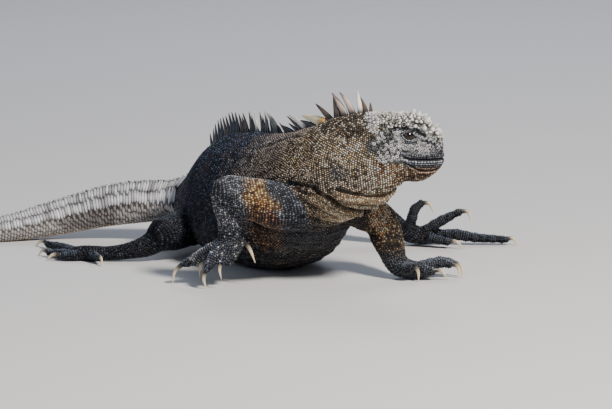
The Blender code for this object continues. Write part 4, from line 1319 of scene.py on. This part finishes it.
# The tail's coat: whorls of tall narrow plates over its upper half, pale and worn, with square
# mottled plates below them and a buff underside.
TAIL_PITCH = ((392, 470, 700, 950), (2.9, 3.2, 3.0, 2.2))
TAIL_START, TAIL_STOP = 380.0, STATION_KEYS[-1] - 1.5
# Where the plates of a whorl part, as shares of the way from the top round to the underside.
WHORL_EDGES = np.array((0.03, 0.25, 0.46, 0.57, 0.68, 0.79, 0.9, 0.99))
tail_sets = []
key, number = TAIL_START, 0
while key < TAIL_STOP:
    for turn in (1, -1):
        angles = math.pi / 2 + turn * np.linspace(0.0, math.pi, 200)
        length = run_along(on_body(np.full(200, key), angles))
        half_turn = length[-1]
        drift = chance.uniform(-0.035, 0.035, len(WHORL_EDGES)) * half_turn / 60
        edges = np.clip(WHORL_EDGES + drift, 0.01, 1.0)
        for one, two in zip(edges[:-1], edges[1:]):
            at = (one + two) / 2 * half_turn + (0.05 * half_turn if number % 2 else 0.0) * (one > 0.3)
            angle = np.interp(min(at, half_turn), length, angles)
            tail_sets.append((key, angle, (two - one) * half_turn, one))
    key += float(np.interp(key, *TAIL_PITCH))
    number += 1
tail_keys, tail_angles, tail_tall, tail_share = np.array(tail_sets).T
places = on_body(tail_keys, tail_angles)
kept, *columns = settle(places, on_body(tail_keys + 1.0, tail_angles) - places, 3.5)
start = tail_keys[kept] > 384 + 7.0 * rumple(columns[0], 7.0, 52)
columns = [column[start] for column in columns]
kept, spots, ups, flows, patches = thinned(kept[start], columns, np.full(start.sum(), 1.7))
share, keys = tail_share[kept], tail_keys[kept]
worn = chance.uniform(0, 1, len(kept))
dirty = np.clip(2.2 * rumple(spots, 22.0, 51) + 0.6 * (worn - 0.4), 0, 1)
tips = laid(
    "a2a4aa",
    ("cfd0d3", worn * 0.8),
    ("807c7c", (worn < 0.2) * 0.7),
    ("958d87", (share > 0.42) * 0.7),
    ("57504e", (share > 0.42) * dirty * 0.7),
    ("b19a83", (share > 0.72) * 0.7),
    ("83838a", ramp(keys, 392, 383) * 0.8),
)
thickness = np.interp(keys, (392, 950), (1.3, 0.5))
sizes = (np.interp(keys, *TAIL_PITCH) * 0.54, tail_tall[kept] * 0.53, thickness)
sizes = np.stack(sizes, axis=1)
# The plates' roots are their tips darkened: painted shade at each plate's foot.
coat_piece(
    "tail_scales", PLATE, spots, ups, flows, patches, sizes, tips, tips * 0.34, jitter=0.08, spark=0.22
)

# The hide takes each place's marking from the scales that grow there, darker: painted shade where
# it lies between and under them.
rooted_places = np.concatenate(rooted_places)
rooted_colours = np.concatenate(rooted_colours)
nearest = KDTree(len(rooted_places))
for number, place in enumerate(rooted_places):
    nearest.insert(place, number)
nearest.balance()
mark(skin, rooted_colours[[nearest.find(place)[1] for place in hide_points()[0]]])

# Living hide between the scales: matt and dry, with 1.3 grains to a millimetre, too small to model,
# which a bump and their own light and dark give.
hide_skin, hide_shader, _, hide_grain = marked_material(
    "dry_reptile_hide",
    0.72,
    0.12,
    "ShaderNodeTexVoronoi",
    {"Scale": 1.3 / MM},
    "Distance",
    (0.0, 0.6, 1.25, 0.6),
)
hide_bump = add_node(
    hide_skin,
    "ShaderNodeBump",
    {"Strength": 0.6, "Distance": 0.0004},
    {"Height": hide_grain.outputs["Result"]},
)
hide_skin.node_tree.links.new(hide_bump.outputs["Normal"], hide_shader.inputs["Normal"])
skin.data.materials.clear()
skin.data.materials.append(hide_skin)
flesh_nodes = ["head", "lower_jaw", "neck", "chest", "trunk", "pelvis"]
flesh_nodes += ["tail_base", "tail_middle", "tail_end", "tail_tip"]
LEG_NODES = ("upper_arm", "forearm", "hand", "thigh", "shank", "foot")
for side in ("right", "left"):
    flesh_nodes += [f"{side}_{part}" for part in LEG_NODES]
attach(skin, "root")
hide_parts(*flesh_nodes)

# The eyes: wet balls in the orbits, dark brown with a black pupil and a thin paler ring, under a
# clear bulging front. Fibres run through the brown, 1.6 to a millimetre, and only what the lids
# leave open shows.
eye_gloss, eye_shader, _, _ = marked_material(
    "wet_eyeball",
    0.05,
    0.3,
    "ShaderNodeTexNoise",
    {"Scale": 1.6 / MM, "Detail": 3.0},
    "Fac",
    (0.3, 0.7, 0.6, 1.3),
)
eye_shader.inputs["Coat Weight"].default_value = 0.3
eye_shader.inputs["Coat Roughness"].default_value = 0.02
# The colours from the middle of the front out, each up to an angle in degrees, and the angle that
# the bulging front reaches to.
EYE_RINGS = ((12, "050404"), (16, "2e1a11"), (38, "160c08"), (181, "0c0807"))
BULGE_EDGE, BULGE = 34, 0.05
for side, sign in (("right", -1), ("left", 1)):
    middle = Vector((EYE[0], HEAD_MIDDLE + sign * EYE[1], EYE[2])) * MM
    bpy.ops.object.select_all(action="DESELECT")
    bpy.ops.mesh.primitive_uv_sphere_add(segments=48, ring_count=40, radius=EYE_RADIUS * MM)
    eye = bpy.context.object
    eye.name = f"{side}_eyeball"
    turn = Vector((0.1, sign, 0.06)).normalized().to_track_quat("Z", "Y")
    tints = []
    for vert in eye.data.vertices:
        off = math.degrees(vert.co.angle(Vector((0, 0, 1))))
        if off < BULGE_EDGE:
            vert.co *= 1.0 + BULGE * (1 - (off / BULGE_EDGE) ** 2)
        tints.append(next(hex_colour(tint) for edge, tint in EYE_RINGS if off < edge))
        vert.co = middle + turn @ vert.co
    mark(eye, np.array(tints))
    eye.data.shade_smooth()
    eye.data.materials.clear()
    eye.data.materials.append(eye_gloss)
    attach(eye, "root")
    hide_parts(f"eye_{side}")

# The ear drums: thin bare membranes, sunk a little behind the corner of the jaw, drawn in at the
# middle where the ear bone holds them, and mottled by clouds of 2.4 mm.
drum_skin, drum_shader = new_material("stretched_ear_membrane", 0.5, 0.45)
drum_place = add_node(drum_skin, "ShaderNodeTexCoord")
drum_cloud = add_node(
    drum_skin,
    "ShaderNodeTexNoise",
    {"Scale": 0.42 / MM, "Detail": 3.0},
    {"Vector": drum_place.outputs["Object"]},
)
drum_tint = add_node(drum_skin, "ShaderNodeValToRGB", sources={"Fac": drum_cloud.outputs["Fac"]})
drum_tint.color_ramp.elements[0].position = 0.35
drum_tint.color_ramp.elements[0].color = (*hex_colour("0f1416"), 1.0)
drum_tint.color_ramp.elements[1].position = 0.68
drum_tint.color_ramp.elements[1].color = (*hex_colour("2c3a3c"), 1.0)
drum_skin.node_tree.links.new(drum_tint.outputs["Color"], drum_shader.inputs["Base Color"])
for side, sign in (("right", -1), ("left", 1)):
    bpy.ops.object.select_all(action="DESELECT")
    low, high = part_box(f"ear_{side}")
    middle = (Vector(low) + Vector(high)) / 2
    facing = Vector((-0.12, sign, 0.06)).normalized()
    spot, up, _, _ = hide_tree.find_nearest(middle + facing * 0.004)
    bpy.ops.mesh.primitive_uv_sphere_add(segments=28, ring_count=14, radius=1.0)
    drum = bpy.context.object
    drum.name = f"{side}_ear_drum"
    turn = up.to_track_quat("Z", "Y")
    for vert in drum.data.vertices:
        hollow = 0.75 * math.exp(-((vert.co.xy.length / 0.55) ** 2)) if vert.co.z > 0 else 0.0
        local = Vector((vert.co.x * 2.7, vert.co.y * 3.7, vert.co.z * 0.9 - hollow - 0.3)) * MM
        vert.co = spot + turn @ local
    drum.data.shade_smooth()
    drum.data.materials.append(drum_skin)
    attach(drum, "root")
    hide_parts(f"ear_{side}")

# The claws: curved blades of horn over the last toe bone, deep and narrow, dark where they leave
# the toe and worn to cream along their length and at the tip, with wear marks 0.7 to a millimetre.
claw_horn, _, _, _ = marked_material(
    "worn_claw_horn",
    0.34,
    0.5,
    "ShaderNodeTexNoise",
    {"Scale": 0.7 / MM, "Detail": 3.0},
    "Fac",
    (0.3, 0.7, 0.78, 1.15),
)


def horn_mesh(name, runs):
    """Join horn blades into one piece: each is its rings, tip and the colour of each ring."""
    points, faces, colours = [], [], []
    for rings, tip, tints in runs:
        sides = len(rings[0])
        tip_number = len(points) + len(rings) * sides
        faces += tube_faces(len(points), len(rings), sides, tip_number + 1, tip_number)
        points.extend((*np.concatenate(rings), tip, rings[0].mean(axis=0)))
        tints = [np.broadcast_to(tint, (sides, 3)) for tint in tints]
        colours.extend((*np.concatenate(tints), tints[-1].mean(axis=0), tints[0].mean(axis=0)))
    points = np.array(points, float)
    points[:, 2] = np.maximum(points[:, 2], 0.0)
    made = new_piece(name, points, faces)
    mark(made, np.array(colours))
    turn_outward(made)
    made.data.shade_smooth()
    made.data.materials.append(claw_horn)
    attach(made, "root")
    return made


CLAW_ROOT, CLAW_END = hex_colour("2f2a26"), hex_colour("d2c3a6")
around = np.linspace(0.0, 2 * math.pi, 14, endpoint=False)
for leg, parts in LEGS.items():
    runs = []
    for digit, bend_and_tip in zip(parts["digits"], parts["claws"]):
        x, y, z, _ = digit[-1]
        stops = np.array(((x, y, z + 0.9, 3.0), *bend_and_tip), float)
        run = run_along(stops[:, :3])
        at = np.linspace(0.0, run[-1], 18)
        line = smooth(run, stops, at)
        along = unit(np.gradient(line[:, :3], at, axis=0))
        bend = np.cross(along[0], along[-1])
        bend = bend / np.linalg.norm(bend) if np.linalg.norm(bend) > 0.15 else np.array((1.0, 0, 0))
        rings, tints = [], []
        for share, point, direction in zip(at / run[-1], line, along):
            across = bend - direction * np.dot(bend, direction)
            across /= np.linalg.norm(across)
            up = np.cross(across, direction)
            deep = np.interp(share, (0.0, 0.3, 0.7, 1.0), (2.8, 2.15, 1.2, 0.28))
            ring = point[:3] + across * deep * 0.66 * np.cos(around)[:, None]
            rings.append(ring + up * deep * np.sin(around)[:, None])
            worn = ramp(share, 0.22, 0.52)
            tints.append(CLAW_ROOT * (1 - worn) + CLAW_END * worn)
        runs.append((rings, line[-1, :3] + along[-1] * 0.5, tints))
    foot = "hand" if leg.endswith("fore") else "foot"
    side = leg.split("_")[0]
    claws = horn_mesh(f"{side}_{foot}_claws", runs)
    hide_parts(*[f"{side}_{foot}_claw_{number}" for number in range(1, 6)])

# The crest: flat curved spines of horn in one row down the midline, each its own height and lean.
# Some are freshly shed and cream or white, the rest are brown and slate.
# Each row is how far back from the snout, the height, the lean back in degrees, the width at the
# foot and its colour.
CREST = (
    (72.5, 9, 4, 3.2, "brown"), (77, 17, 19, 4.2, "brown"), (83, 22, 7, 4.8, "white"),
    (90.5, 25, 28, 5.8, "light"), (99, 26, 31, 6.2, "light"), (106, 17, 22, 4.0, "brown"),
    (110, 24, 10, 4.8, "brown"), (116, 25, 55, 5.8, "brown"), (125, 35, 83, 9.0, "cream"),
    (131, 20, 80, 4.0, "slate"), (136.5, 33, 84, 4.2, "slate"), (145, 24, 78, 4.0, "slate"),
    (153.5, 40, 74, 6.4, "white"), (160, 24, 76, 4.0, "slate"), (165, 38, 72, 4.4, "brown"),
    (171.5, 27, 76, 3.8, "slate"), (181.5, 24, 77, 3.8, "slate"), (190, 23, 72, 3.6, "slate"),
    (199, 20, 62, 3.6, "brown"), (203, 11, 42, 3.2, "brown"), (212, 12, 46, 3.6, "slate"),
    (221, 29, 44, 8.0, "edge"), (232, 19, 26, 4.4, "slate"), (243, 23, 14, 5.4, "edge"),
    (248.5, 16, 18, 3.8, "slate"), (254, 20, 12, 4.8, "brown"), (264.5, 19, 20, 4.8, "white"),
    (270.5, 17, 18, 3.8, "slate"), (276.5, 21, 12, 5.0, "brown"), (284.5, 21, 22, 5.0, "brown"),
    (289.5, 17, 16, 3.6, "slate"), (294.5, 20, 16, 5.2, "brown"), (302, 22, 14, 5.4, "slate"),
    (307.5, 23, 15, 5.2, "slate"), (313, 23, 15, 5.2, "slate"), (319, 22, 16, 5.2, "slate"),
    (325, 23, 16, 5.4, "brown"), (332.5, 25, 12, 5.6, "slate"), (338.5, 26, 11, 5.4, "slate"),
    (345, 26, 9, 5.4, "slate"), (350.5, 25, 10, 5.2, "brown"), (355, 23, 10, 5.0, "slate"),
)
SPINE_TINTS = {
    "brown": ("16110f", "56483e", "2b201b"),
    "white": ("3c332c", "fbf6ea", "e8d3b0"),
    "light": ("221a17", "b9a598", "5a3f33"),
    "cream": ("b88d45", "fdf0cc", "f2dca0"),
    "slate": ("0e1218", "29323d", "3a322f"),
    "edge": ("232a31", "59615f", "e6e2d6"),
    "worn": ("5f5c5c", "a5a4a6", "8f8580"),
}
# Past the hips the spines shrink to a low row that runs to the tail's tip: their heights and lean
# by how far back they are.
LOW_HEIGHTS = ((361, 370, 384, 407, 470, 560, 700, 900), (12, 5, 2.2, 1.5, 1.6, 1.6, 1.4, 1.0))
LOW_LEAN = ((361, 420, 600), (16, 34, 48))
LOW_PITCH = ((361, 420, 900), (5.0, 5.2, 4.4))
LOW_START, LOW_STOP = 361.0, 900.0
spine_rows = list(CREST)
key, number = LOW_START, 0
while key < LOW_STOP:
    height = float(np.interp(key, *LOW_HEIGHTS))
    width = max(height * 0.26, 5.4 - 0.004 * key)
    height *= (1.0, 0.9, 1.05)[number % 3]
    tone = "slate" if key < 385 else "worn"
    spine_rows.append((key, height, float(np.interp(key, *LOW_LEAN)), width, tone))
    key += float(np.interp(key, *LOW_PITCH))
    number += 1
SPINE_SINK = 3.0
upright = np.array((0.0, 0.0, 1.0))
around = np.linspace(0.0, 2 * math.pi, 16, endpoint=False)
# Painted shade: each spine's colour darkened towards its front and back edges, except on the cream ones.
painted_edge_shade = np.clip(np.abs(np.cos(around)) * 4 - 3.1, 0, 1)[:, None]
runs = []
for key, height, lean, width, tone in spine_rows:
    x, y, top = smooth(STATION_KEYS, STATIONS[:, :3], key)[0]
    forward = np.array((*body_forward(np.array([key]))[0], 0.0))
    sway = chance.uniform(-0.07, 0.07)
    sideways = np.array((-forward[1], forward[0], 0.0))
    rings, tints = [], []
    root_tint, body_tint, tip_tint = (hex_colour(text) for text in SPINE_TINTS[tone])
    for share in np.linspace(0.0, 0.97, 12):
        turned = math.radians(lean) * ((0.72 + 0.42 * share) if lean < 50 else (0.97 + 0.05 * share))
        axis = upright * math.cos(turned) - forward * math.sin(turned)
        middle = np.array((x, y, top - SPINE_SINK)) + axis * (height + SPINE_SINK) * share
        middle = middle + sideways * sway * height * share**2
        ahead = forward * math.cos(turned) + upright * math.sin(turned)
        size = width * 0.62 * (1 - share**1.7) ** 0.8 + 0.12
        thick = size * (0.5 if share > 0.2 else 0.66)
        ring = middle + ahead * size * np.cos(around)[:, None]
        rings.append(ring + sideways * thick * np.sin(around)[:, None])
        lit, tipped = ramp(share, 0.12, 0.37), ramp(share, 0.6, 0.95)
        flat_tint = (root_tint * (1 - lit) + body_tint * lit) * (1 - tipped) + tip_tint * tipped
        tints.append(flat_tint * (1 - painted_edge_shade * (0.0 if tone == "cream" else 0.75)))
    runs.append((rings, rings[-1].mean(axis=0) + axis * 0.6, tints))
horn_mesh("crest_spines", runs)
